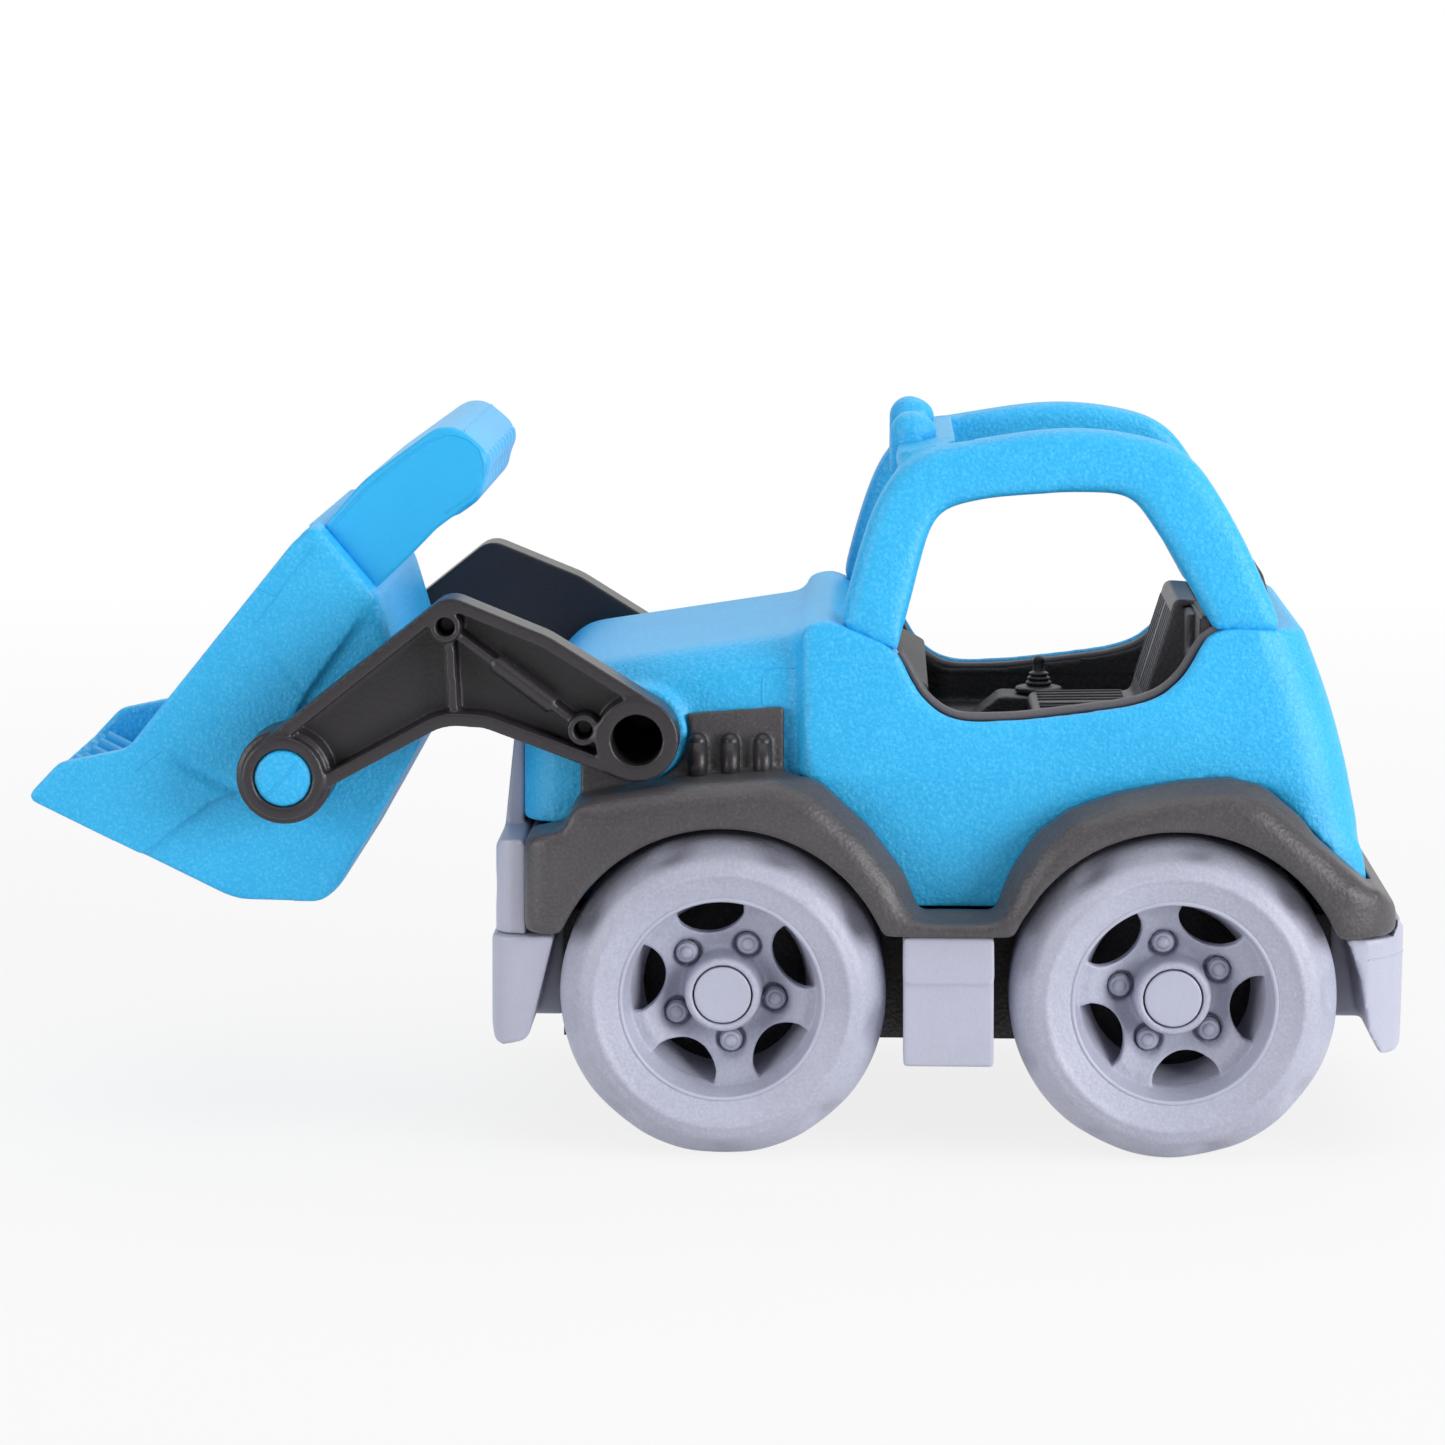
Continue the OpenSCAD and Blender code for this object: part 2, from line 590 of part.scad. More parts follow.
// Wheels: hollow from behind, five spokes, a pin head set into the hub
hub_face = wheel_w - 1;
module wheel() {
    r = wheel_r;
    // barrel behind the spoke windows
    translate([0, 0, 5]) difference() {
        cylinder(r = window_r + 0.2 + barrel_wall, h = wheel_w - 14);
        translate([0, 0, -1]) cylinder(r = window_r + 0.2, h = wheel_w - 12);
    }
    // domed lug bolts, each standing in its own recess
    for (k = [0:4])
        rotate(k * 72) translate([lug_circle, 0, wheel_w - 8]) {
            cylinder(r = 2.2, h = 2.6);
            translate([0, 0, 2.6]) cylinder(r1 = 2.2, r2 = 1.2, h = 1);
        }
    difference() {
        rotate_extrude($fn = 96) polygon(rounded([[pin_r + run, 0, 0], [hub_r - 1, 0, 0],
            [hub_r, wheel_w - 10, 0], [r - 3.2, wheel_w - 10, 3], [r - 3, 2, 0], [r - 2, 0, 0],
            [r - 1.2, 0, 0.8], [r, 3, 3], [r, wheel_w - 6, 6], [r - 4.6, wheel_w - 0.6, 4],
            [crest_r, wheel_w, 2], [dish_r, wheel_w - 1.9, 1], [dish_r - 0.9, wheel_w - 6.6, 1.4],
            [hub_r + 0.6, wheel_w - 6, 1], [hub_r, hub_face, 0.8], [pin_head_r + 0.3, hub_face, 0],
            [pin_head_r + 0.3, hub_face - 2.1, 0], [pin_r + run, hub_face - 2.1, 0]]));
        intersection() {
            translate([0, 0, wheel_w - 12]) cylinder(r = window_r, h = 8);
            for (k = [0:4])
                rotate(k * 72 + 36) translate([window_r + window_cut - 5.4, 0, wheel_w - 12])
                    cylinder(r = window_cut, h = 8);
        }
        for (k = [0:4])
            rotate(k * 72) translate([lug_circle, 0, wheel_w - 7]) cylinder(r = 3, h = 5);
        // shallow flats round the outer shoulder
        for (k = [0:11])
            rotate(k * 30 + 8) translate([r - 1.9, 0, wheel_w - 1.5]) rotate([0, 45, 0])
                translate([0, -20, 0]) cube([20, 40, 20]);
    }
}
module axle_pin() {
    translate([0, 0, hub_face - 2]) cylinder(r = pin_head_r, h = 2);
    translate([0, 0, -18]) cylinder(r = pin_r, h = 18 + hub_face - 1.9);
}
// puts a wheel or pin at an axle end; its own +Z points outwards
module at_left(x, spin) {
    place() translate([x, -wheel_in, axle_z]) rotate([90, 0, 0]) rotate(spin) children();
}
module at_right(x, spin) {
    place() mirror([0, 1, 0]) translate([x, -wheel_in, axle_z]) rotate([90, 0, 0])
        rotate(spin) children();
}
module wheel_front_left() {
    color(light) at_left(-axle_x, -81.5) wheel();
}
module wheel_front_right() {
    color(light) at_right(-axle_x, -81.5) wheel();
}
module wheel_rear_left() {
    color(light) at_left(axle_x, 28) wheel();
}
module wheel_rear_right() {
    color(light) at_right(axle_x, 28) wheel();
}
module axle_pin_front_left() {
    color(light) at_left(-axle_x, 0) axle_pin();
}
module axle_pin_front_right() {
    color(light) at_right(-axle_x, 0) axle_pin();
}
module axle_pin_rear_left() {
    color(light) at_left(axle_x, 0) axle_pin();
}
module axle_pin_rear_right() {
    color(light) at_right(axle_x, 0) axle_pin();
}

// Loader arms: a web with a raised rim, ribs and a moulded ram
arm_web = 3;
small_boss = [[-38, 22.4], [-10.7, 1.9]];
module rib(a, b, w, y0, y1) {
    d = b - a;
    translate([a[0], 0, a[1]]) rotate([0, -atan2(d[1], d[0]), 0])
        box(0, norm(d), y0, y1, -w / 2, w / 2);
}
module arm() {
    o = -arm_out;
    i = -arm_in;
    translate([pivot_x, 0, pivot_z]) difference() {
        union() {
            difference() {
                across(o, i) polygon(rounded(arm_line));
                across(o - 1, i - arm_web) polygon(rounded(inset(arm_line, arm_rim)));
            }
            bar(0, 0, boss_r, o - 0.4, i);
            bar(-arm_dx, -arm_dz, boss_r, o - 0.6, -bucket_half - 0.6);
            bar(-arm_dx, -arm_dz, boss_r + boss_step, o + 1.6, -bucket_half - 0.6);
            for (p = small_boss)
                bar(p[0], p[1], 3.1, o, i);
            rib([-37.4, 20], [-36.4, 4], 1.8, o + 1.5, i - 1);
            rib([-36, 20.8], [-12, 2.9], 1.6, o + 1.5, i - 1);
            // moulded ram on the long rib
            translate([-28.4, o + 2.9, 15.1]) rotate([0, 126.7, 0]) cylinder(r = 1.9, h = 14.5);
        }
        bar(-arm_dx, -arm_dz, trunnion_r + run, o - 2, -30);
        for (p = small_boss)
            bar(p[0], p[1], 1.9, o - 1, i - arm_web);
        bar(0, 0, hollow_r, o - 2, i + 2);
    }
}
module arm_left() {
    color(charcoal) place() difference() {
        union() {
            arm();
            bar(pivot_x, pivot_z, journal_r, -arm_in - 1, 3);
        }
        bar(pivot_x, pivot_z, hollow_r, -arm_out - 1, 4);
    }
}
module arm_right() {
    color(charcoal) place() difference() {
        union() {
            mirror([0, 1, 0]) arm();
            bar(pivot_x, pivot_z, journal_r, 3 + seat_gap, arm_in + 1);
            bar(pivot_x, pivot_z, hollow_r - 0.02, -9, 4);
        }
        bar(pivot_x, pivot_z, hollow_r, 6, arm_out + 1);
    }
}

// Bucket: one shell with its trunnions moulded on
floor_dir = unit([tip_dx - 12.3, -20.8]);
floor_in = [-tip_dx, -7.1] + bucket_wall * [-floor_dir[1], floor_dir[0]];
top_dir = unit([13.1, -15.6]);
top_out = [-top_dir[1], top_dir[0]];
module bucket() {
    c = inset(bucket_line, bucket_wall);
    lip = floor_in - 9 * floor_dir;
    top = [4.5, 50.5] - bucket_wall * top_out - 10 * top_dir;
    color(blue) place() translate([trunnion_x, 0, trunnion_z]) difference() {
        union() {
            difference() {
                union() {
                    across(-bucket_half + cheek, bucket_half - cheek)
                        polygon(rounded(bucket_line));
                    // raised cheeks towards the mouth
                    across(-bucket_half, bucket_half) polygon(rounded([[-tip_dx, -7.1, 1.5],
                        [-31.2, -18.6, 1], [-16.6, -7.4, 3], [-8, -4.4, 0], [3.4, 15.4, 0],
                        [17.2, 34.7, 0], [17.6, 34.9, 0], [4.5, 50.5, 2.5], [-33.8, 3.1, 5],
                        [-47.9, 0.1, 4]]));
                }
                across(-bucket_half + cheek + bucket_wall, bucket_half - cheek - bucket_wall)
                    polygon(rounded([[lip[0], lip[1], 0], c[1], c[2], c[3], c[4],
                        [top[0], top[1], 0], [-80, 50, 0]]));
            }
            both() bar(0, 0, trunnion_r, -arm_out - 0.3, -bucket_half + cheek + 1);
            // ridges along the lip
            for (y = [-30:10:30])
                translate([floor_in[0] + 1.2, y, floor_in[1] - 0.5])
                    rotate([0, 90 + atan2(-floor_dir[1], floor_dir[0]), 0])
                        cylinder(r = 1.5, h = 15);
        }
        // slot in the top that takes the foot of the handle
        across(-handle_half + 2 - seat_gap, handle_half - 2 + seat_gap)
            slot_outline(seat_gap);
    }
}
// the foot of the handle, seen from the bucket pivot
module slot_outline(g) {
    a = [4.5, 50.5] + 5 * top_dir;
    polygon([a - g * top_dir + top_out, a + (9.6 + g) * top_dir + top_out,
        a + (9.6 + g) * top_dir - 4 * top_out, a - g * top_dir - 4 * top_out]);
}
module bucket_handle() {
    w = 2.4;
    color(blue) place() translate([trunnion_x, 0, trunnion_z]) difference() {
        union() {
            difference() {
                across(-handle_half, handle_half) polygon(rounded(handle_line));
                across(-60, 60) polygon([[4.5, 50.5] - 9 * top_dir + seat_gap * top_out,
                    [4.5, 50.5] - 9 * top_dir - 20 * top_out,
                    [17.6, 34.9] + 9 * top_dir - 20 * top_out,
                    [17.6, 34.9] + 9 * top_dir + seat_gap * top_out]);
            }
            intersection() {
                across(-handle_half + 2, handle_half - 2) slot_outline(0);
                across(-60, 60) polygon([[4.5, 50.5] - 9 * top_dir + 0.9 * top_out,
                    [4.5, 50.5] - 9 * top_dir - 2.4 * top_out,
                    [17.6, 34.9] + 9 * top_dir - 2.4 * top_out,
                    [17.6, 34.9] + 9 * top_dir + 0.9 * top_out]);
            }
        }
        // hollow inside, open at the foot
        across(-handle_half + w + 2, handle_half - w - 2) polygon(rounded(
            [[4.5, 50.5, 0] + concat(7 * top_dir - 5 * top_out, 0),
             [4.5, 50.5, 0] + concat(12.4 * top_dir - 5 * top_out, 0),
             [4.5, 50.5, 0] + concat(12.4 * top_dir + 4 * top_out, 0),
             [27, 50, 4], [36.4, 58, 3], [37, 62, 2], [31.4, 66.4, 3],
             [4.5, 50.5, 0] + concat(7 * top_dir + 4 * top_out, 0)]));
        // finger grooves across the back of the grip
        for (k = [0:4])
            bar(40.9 - k * 2.3 + (k < 1 ? -0.4 : 0), 60.6 - k * 2.5, 0.9,
                -handle_half + 3, handle_half - 3);
    }
}

chassis();
fender_skirt();
body_shell();
roof_frame();
interior_tub();
seat();
control_lever();
front_grille();
front_bumper();
rear_bumper();
side_step_left();
side_step_right();
wheel_front_left();
wheel_front_right();
wheel_rear_left();
wheel_rear_right();
axle_pin_front_left();
axle_pin_front_right();
axle_pin_rear_left();
axle_pin_rear_right();
arm_left();
arm_right();
bucket();
bucket_handle();
chassis_screws();
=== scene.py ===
import json
import math

import bmesh
import bpy
import numpy as np
from mathutils import Matrix, Vector
from mathutils.bvhtree import BVHTree

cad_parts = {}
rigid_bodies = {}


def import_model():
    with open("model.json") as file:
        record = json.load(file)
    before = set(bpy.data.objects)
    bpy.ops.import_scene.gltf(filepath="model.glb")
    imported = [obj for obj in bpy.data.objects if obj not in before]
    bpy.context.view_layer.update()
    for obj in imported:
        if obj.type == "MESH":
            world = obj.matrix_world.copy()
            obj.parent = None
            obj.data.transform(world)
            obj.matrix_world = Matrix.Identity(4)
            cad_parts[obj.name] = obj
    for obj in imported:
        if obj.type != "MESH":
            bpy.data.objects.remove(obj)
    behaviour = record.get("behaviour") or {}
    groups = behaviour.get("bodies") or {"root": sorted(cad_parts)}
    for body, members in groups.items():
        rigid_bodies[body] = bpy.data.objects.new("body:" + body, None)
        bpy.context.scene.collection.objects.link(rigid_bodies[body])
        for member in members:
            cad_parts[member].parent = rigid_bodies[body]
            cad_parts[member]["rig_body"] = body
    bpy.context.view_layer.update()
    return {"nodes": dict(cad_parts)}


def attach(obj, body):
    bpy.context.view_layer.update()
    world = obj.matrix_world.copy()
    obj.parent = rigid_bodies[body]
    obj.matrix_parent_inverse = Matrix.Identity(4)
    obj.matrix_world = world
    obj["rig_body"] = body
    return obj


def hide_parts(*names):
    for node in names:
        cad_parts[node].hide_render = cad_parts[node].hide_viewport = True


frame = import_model()
NODES = frame["nodes"]
BODY_OF = {n: o["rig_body"] for n, o in NODES.items()}
HANDS = ((-1, "left"), (1, "right"))
# sizes from here on are in millimetres, unless a name or a Geometry Nodes input says metres
MM = 0.001
# the middle of the wheelbase lies this far behind the frame's origin
WHEELBASE_MID = 47.325
# bucket pivot in the side view, from the middle of the wheelbase
TRUNNION = (-132.7, 76.2)
AXLE_X = 45.0
AXLE_Z = 32.7
# lower rim of the fenders
RIM_Z = 46.0
# outer face of the tyres
WHEEL_FACE = 62.0


def at(x, y, z):
    """A point given from the middle of the wheelbase, in millimetres, as metres in the frame."""
    return Vector(((x + WHEELBASE_MID) * MM, y * MM, z * MM))


# Node trees


class Value:
    """A socket that takes part in sums."""

    def __init__(self, tree, socket):
        self.tree = tree
        self.socket = socket

    def math(self, operation, *values):
        n = self.tree.nodes.new("ShaderNodeMath")
        n.operation = operation
        for slot, v in zip(n.inputs, values):
            put(self.tree, slot, v)
        return Value(self.tree, n.outputs[0])

    def __add__(self, o):
        return self.math("ADD", self, o)

    def __radd__(self, o):
        return self.math("ADD", o, self)

    def __sub__(self, o):
        return self.math("SUBTRACT", self, o)

    def __rsub__(self, o):
        return self.math("SUBTRACT", o, self)

    def __mul__(self, o):
        return self.math("MULTIPLY", self, o)

    def __rmul__(self, o):
        return self.math("MULTIPLY", o, self)

    def __truediv__(self, o):
        return self.math("DIVIDE", self, o)

    def __rtruediv__(self, o):
        return self.math("DIVIDE", o, self)

    def clip(self, low=0.0, high=1.0):
        return self.math("MINIMUM", self.math("MAXIMUM", self, low), high)

    def larger(self, o):
        return self.math("MAXIMUM", self, o)

    def step(self, low, high):
        """0 below low, 1 above high, even between."""
        return ((self - low) / (high - low)).clip()


def put(tree, slot, v):
    """Links a value to a socket, or several to one that takes several, or sets a constant."""
    if isinstance(v, list):
        for one in v:
            put(tree, slot, one)
    elif isinstance(v, Value):
        tree.links.new(v.socket, slot)
    else:
        slot.default_value = v


class Nodes:
    """node() makes any node of the tree and hands back one of its outputs."""

    tree = None

    def node(self, kind, out=0, settings=None, **inputs):
        n = self.tree.nodes.new(kind)
        for k, v in (settings or {}).items():
            setattr(n, k, v)
        for k, v in inputs.items():
            put(self.tree, n.inputs[k.replace("_", " ")], v)
        return Value(self.tree, n.outputs[out])


class Shade(Nodes):
    """One material."""

    def __init__(self, name):
        self.mat = bpy.data.materials.new(name)
        self.mat.use_nodes = True
        self.tree = self.mat.node_tree
        self.tree.nodes.clear()
        self.surface = self.tree.nodes.new("ShaderNodeBsdfPrincipled")
        self.out = self.tree.nodes.new("ShaderNodeOutputMaterial")
        self.tree.links.new(self.surface.outputs[0], self.out.inputs["Surface"])
        self.place = self.node("ShaderNodeTexCoord", "Object")

    def noise(self, scale, detail=2.0, rough=0.5):
        return self.node("ShaderNodeTexNoise", "Fac", Vector=self.place, Scale=scale, Detail=detail, Roughness=rough)

    def mix(self, fac, a, b):
        n = self.tree.nodes.new("ShaderNodeMix")
        n.data_type = "RGBA"
        for i, v in ((0, fac), (6, a), (7, b)):
            put(self.tree, n.inputs[i], v)
        return Value(self.tree, n.outputs[2])

    def bump(self, height, distance, strength=1.0):
        return self.node("ShaderNodeBump", "Normal", Height=height, Distance=distance, Strength=strength)

    def set(self, **inputs):
        for k, v in inputs.items():
            put(self.tree, self.surface.inputs[k.replace("_", " ")], v)
        return self.mat


class Form(Nodes):
    """One Geometry Nodes tree with named sizes and a finish."""

    def __init__(self, name, **sizes):
        self.tree = bpy.data.node_groups.new(name, "GeometryNodeTree")
        face = self.tree.interface
        face.new_socket("Geometry", in_out="OUTPUT", socket_type="NodeSocketGeometry")
        face.new_socket("Geometry", in_out="INPUT", socket_type="NodeSocketGeometry")
        self.key = {}
        for k, v in sizes.items():
            kind = "NodeSocketInt" if isinstance(v, int) else "NodeSocketFloat"
            slot = face.new_socket(k.replace("_", " "), in_out="INPUT", socket_type=kind)
            slot.default_value = v
            self.key[k] = slot.identifier
        slot = face.new_socket("Finish", in_out="INPUT", socket_type="NodeSocketMaterial")
        self.key["Finish"] = slot.identifier
        self.given = self.tree.nodes.new("NodeGroupInput")
        self.shape = self.size("Geometry")

    def size(self, name):
        return Value(self.tree, self.given.outputs[name])

    def end(self, geometry):
        whole = self.node("GeometryNodeRealizeInstances", Geometry=geometry)
        smooth = self.node("GeometryNodeSetShadeSmooth", Geometry=whole)
        painted = self.node("GeometryNodeSetMaterial", Geometry=smooth, Material=self.size("Finish"))
        put(self.tree, self.tree.nodes.new("NodeGroupOutput").inputs["Geometry"], painted)
        return self

    def make(self, base, finish, **sizes):
        """The tree run on a base mesh, as a plain mesh."""
        obj = bpy.data.objects.new("work", base)
        bpy.context.scene.collection.objects.link(obj)
        m = obj.modifiers.new("form", "NODES")
        m.node_group = self.tree
        m[self.key["Finish"]] = finish
        for k, v in sizes.items():
            m[self.key[k]] = v
        mesh = plain_mesh(obj)
        obj.modifiers.clear()
        bpy.data.objects.remove(obj)
        return mesh


# Finishes


def colour(r, g, b):
    """An sRGB colour of 0 to 255 as linear RGBA."""

    def linear(c):
        return c / 12.92 if c <= 0.04045 else ((c + 0.055) / 1.055) ** 2.4

    return (linear(r / 255), linear(g / 255), linear(b / 255), 1.0)


def moulded(name, tone, tint, rough, grain=1.0, painted_glints=0.0, grain_scale=1650.0, painted_shade_span=None):
    """Moulded plastic: sparked grain with pale specks painted in as glints of its sparkle, faint flow marks and a
    little dust that dulls the gloss.

    The last argument, two places along the frame's X, paints shade: the tone is darker before the first and comes up by
    the second.
    """
    s = Shade(name)
    flow = s.noise(38.0, 4.0, 0.6)
    dust = s.noise(310.0, 5.0, 0.65)
    spark = s.noise(grain_scale, 3.0, 0.62)
    pits = s.node("ShaderNodeTexVoronoi", "Distance", Vector=s.place, Scale=grain_scale * 0.62)
    base = s.mix((flow * 0.45 + dust * 0.15 + spark * 0.4).step(0.36, 0.64), tone, tint)
    # pale specks mixed into the grain's colour: painted glints of the grain's sparkle
    if painted_glints:
        glint_tone = tuple(min(1.0, c * 1.2 + 0.10) for c in tint[:3]) + (1.0,)
        base = s.mix((spark - pits * 0.25).step(0.34, 0.56) * painted_glints, base, glint_tone)
    # painted shade: a darker tone before the first place along the frame's X, coming up by the second
    if painted_shade_span:
        along = s.node("ShaderNodeSeparateXYZ", "X", Vector=s.place)
        base = s.mix(along.step(painted_shade_span[0] * MM, painted_shade_span[1] * MM), tuple(c * 0.4 for c in tone[:3]) + (1.0,), base)
    return s.set(
        Base_Color=base,
        Roughness=(dust.step(0.3, 0.8) * 0.05 + spark * 0.10 + (rough - 0.07)).clip(0.05, 1.0),
        Normal=s.bump(spark * 0.8 + pits * 0.55, 0.00022 * grain, 0.8),
        Specular_IOR_Level=0.45,
    )


BLUE = moulded("blue_grained", colour(36, 170, 230), colour(50, 182, 240), 0.44, 1.0, 0.30)
BLUE_SMOOTH = moulded("blue_smooth", colour(40, 173, 233), colour(48, 180, 238), 0.38, 0.25)
CHARCOAL = moulded("charcoal_grained", colour(64, 61, 64), colour(80, 77, 80), 0.40, 0.7, 0.08)
RIM = moulded("rim_satin", colour(88, 84, 87), colour(98, 94, 97), 0.42, 0.5)
CHARCOAL_SMOOTH = moulded("charcoal_satin", colour(44, 41, 45), colour(50, 47, 51), 0.36, 0.3)
# painted shade: the tub's tone is darker towards the dash end, in front of 46 mm along the frame's X
CAB_TUB = moulded("cab_tub", colour(50, 48, 50), colour(62, 60, 62), 0.5, 1.2, 0.10, painted_shade_span=(46.0, 49.0))
CAB_DARK = moulded("cab_dark", colour(44, 42, 44), colour(56, 54, 56), 0.44, 1.0, 0.10)
GREY = moulded("grey_grained", colour(166, 168, 186), colour(184, 186, 204), 0.44, 0.55, 0.10)
GREY_SMOOTH = moulded("grey_smooth", colour(176, 178, 196), colour(184, 186, 204), 0.40, 0.25)


def screw_metal():
    s = Shade("screw_steel")
    brush = s.noise(2600.0, 3.0)
    return s.set(
        Base_Color=s.mix(brush, colour(150, 150, 155), colour(186, 186, 190)),
        Metallic=1.0,
        Roughness=brush * 0.2 + 0.25,
        Normal=s.bump(brush, 0.00002, 0.4),
    )


STEEL = screw_metal()


# Mesh tools


def plain_mesh(obj):
    """The object with its modifiers as a plain mesh."""
    graph = bpy.context.evaluated_depsgraph_get()
    return bpy.data.meshes.new_from_object(obj.evaluated_get(graph))


def show(mesh, name, material):
    obj = bpy.data.objects.new(name, mesh)
    bpy.context.scene.collection.objects.link(obj)
    mesh.materials.clear()
    mesh.materials.append(material)
    return obj


def per_point(mesh, what):
    """A vector that the mesh keeps for each point, such as its place or its normal."""
    v = np.empty(len(mesh.vertices) * 3)
    mesh.vertices.foreach_get(what, v)
    return v.reshape(-1, 3)


def points(mesh):
    """The mesh's points from the middle of the wheelbase, in millimetres."""
    return per_point(mesh, "co") / MM - (WHEELBASE_MID, 0.0, 0.0)


def set_points(mesh, co):
    mesh.vertices.foreach_set("co", ((co + (WHEELBASE_MID, 0.0, 0.0)) * MM).ravel())
    mesh.update()


def ramp(v, low, high):
    """0 below low, 1 above high, smooth between, for arrays."""
    t = np.clip((v - low) / (high - low), 0.0, 1.0)
    return t * t * (3.0 - 2.0 * t)


def in_runs(picked, length=4000):
    """The places a mask picks, in runs short enough to compare each with a whole line of points."""
    k = np.where(picked)[0]
    return np.array_split(k, max(1, len(k) // length))


def relax(mesh, passes, weight=None, pull=0.5):
    """Evens the mesh out where weight says, which rounds its edges and fills its inner corners."""
    co = points(mesh)
    n = len(co)
    ends = np.empty(len(mesh.edges) * 2, np.int64)
    mesh.edges.foreach_get("vertices", ends)
    a, b = ends.reshape(-1, 2).T
    if weight is None:
        weight = np.ones(n)
    live = weight > 0.004
    keep = live[a] | live[b]
    a, b = a[keep], b[keep]
    count = np.maximum(np.bincount(a, minlength=n) + np.bincount(b, minlength=n), 1)
    step = (pull * weight * live)[:, None]
    for _ in range(passes):
        near = np.stack([np.bincount(a, co[b, k], n) + np.bincount(b, co[a, k], n) for k in range(3)], 1)
        co += step * (near / count[:, None] - co)
    set_points(mesh, co)


def merged_copy(node):
    """A copy of a solid's mesh with its seams closed."""
    mesh = NODES[node].data.copy()
    bm = bmesh.new()
    bm.from_mesh(mesh)
    bmesh.ops.remove_doubles(bm, verts=bm.verts, dist=2e-6)
    bm.to_mesh(mesh)
    bm.free()
    return mesh


def soft_mesh(mesh, grid, passes, triangles, form=None):
    """The same piece with moulded, rounded edges: even grid, relaxed, formed, then thinned."""
    obj = bpy.data.objects.new("work", mesh)
    bpy.context.scene.collection.objects.link(obj)
    m = obj.modifiers.new("grid", "REMESH")
    m.mode = "VOXEL"
    m.voxel_size = grid * MM
    even = plain_mesh(obj)
    obj.modifiers.clear()
    relax(even, passes)
    if form:
        form(even, mesh)
    have = sum(len(p.vertices) - 2 for p in even.polygons)
    obj.data = even
    if have > triangles:
        d = obj.modifiers.new("thin", "DECIMATE")
        d.ratio = triangles / have
    out = plain_mesh(obj)
    bpy.data.objects.remove(obj)
    bpy.data.meshes.remove(even)
    for p in out.polygons:
        p.use_smooth = True
    return out


def stand_for(mesh, node, material):
    """Shows a mesh in place of a solid, on the same body."""
    obj = show(mesh, "soft_" + node, material)
    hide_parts(node)
    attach(obj, BODY_OF[node])
    return obj


def soft_piece(node, material, grid=0.5, passes=4, triangles=120000, form=None, plugs=()):
    mesh = joined([merged_copy(node), *plugs])
    return stand_for(soft_mesh(mesh, grid, passes, triangles, form), node, material)


def joined(meshes):
    """Several meshes as one."""
    bm = bmesh.new()
    for m in meshes:
        bm.from_mesh(m)
    out = bpy.data.meshes.new("joined")
    bm.to_mesh(out)
    bm.free()
    return out


def add_piece(mesh, name, body, material):
    """Shows a mesh beside the solids, on a body."""
    obj = show(mesh, name, material)
    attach(obj, body)
    return obj


# Main mouldings


def rounded_line(path, n=8):
    """An open side-view line from (x, z, corner radius) points."""
    pts = [np.array(q[:2], float) for q in path]
    out = [pts[0]]
    for (a, b, c), (_, _, r) in zip(zip(pts, pts[1:], pts[2:]), path[1:]):
        u, v = (a - b) / np.linalg.norm(a - b), (c - b) / np.linalg.norm(c - b)
        reach = r / max(math.tan(math.acos(np.clip(u @ v, -1.0, 1.0)) / 2), 0.01)
        for t in np.linspace(0.0, 1.0, n if r else 1):
            out.append(b + u * reach * (1 - t) ** 2 + v * reach * t ** 2)
    return np.array(out + [pts[-1]])


def softened(path, spread, step=0.5):
    """The line in even steps, and the same line with its corners eased over a distance."""
    line = rounded_line(path)
    run = np.r_[0.0, np.cumsum(np.linalg.norm(np.diff(line, axis=0), axis=1))]
    t = np.linspace(0.0, run[-1], int(run[-1] / step))
    even = np.column_stack([np.interp(t, run, line[:, k]) for k in (0, 1)])
    n = int(3 * spread / step)
    bell = np.exp(-0.5 * (np.arange(-n, n + 1) * step / spread) ** 2)
    before = 2 * even[0] - even[n:0:-1]
    after = 2 * even[-1] - even[-2:-n - 2:-1]
    long = np.vstack([before, even, after])
    soft = np.column_stack([np.convolve(long[:, k], bell / bell.sum(), "valid") for k in (0, 1)])
    return even, soft


def ease_outline(mesh, even, soft, reach, where):
    """Draws the points near a side-view outline over to its softened course."""
    p = points(mesh)
    for chunk in in_runs(where(p)):
        gap = np.linalg.norm(p[chunk][:, None, (0, 2)] - even[None], axis=2)
        k = gap.argmin(1)
        w = ramp(reach - gap.min(1), 0.0, reach * 0.7)[:, None]
        p[chunk[:, None], (0, 2)] += (soft - even)[k] * w
    set_points(mesh, p)


def bull_nose(u, v, r):
    """Depths from two faces that meet squarely, drawn over to a corner of radius r."""
    m = np.minimum(u, v)
    turn = np.pi / 4 * np.clip(1.0 - np.abs(u - v) / np.maximum(r - m, 0.05), 0.0, 1.0)
    c, s = r - (r - m) * np.cos(turn), r - (r - m) * np.sin(turn)
    inside = (u < r) & (v < r)
    return np.where(inside, np.where(u <= v, c, s), u), np.where(inside, np.where(u <= v, s, c), v)


SILL = [
    (71.0, 105.6, 0), (53.2, 106.0, 2), (50.3, 103.5, 3), (47.4, 97.4, 8), (42.6, 92.4, 9), (35.5, 90.4, 0),
    (13.4, 87.6, 0), (0.5, 87.3, 6), (-5.6, 91.6, 6), (-8.6, 97.6, 0), (-10.8, 101.6, 1), (-24.6, 107.2, 0),
]
SILL_EVEN, SILL_SOFT = softened(SILL, 2.6)


# round of the tail's upright corners
TAIL_ROUND = 12.0
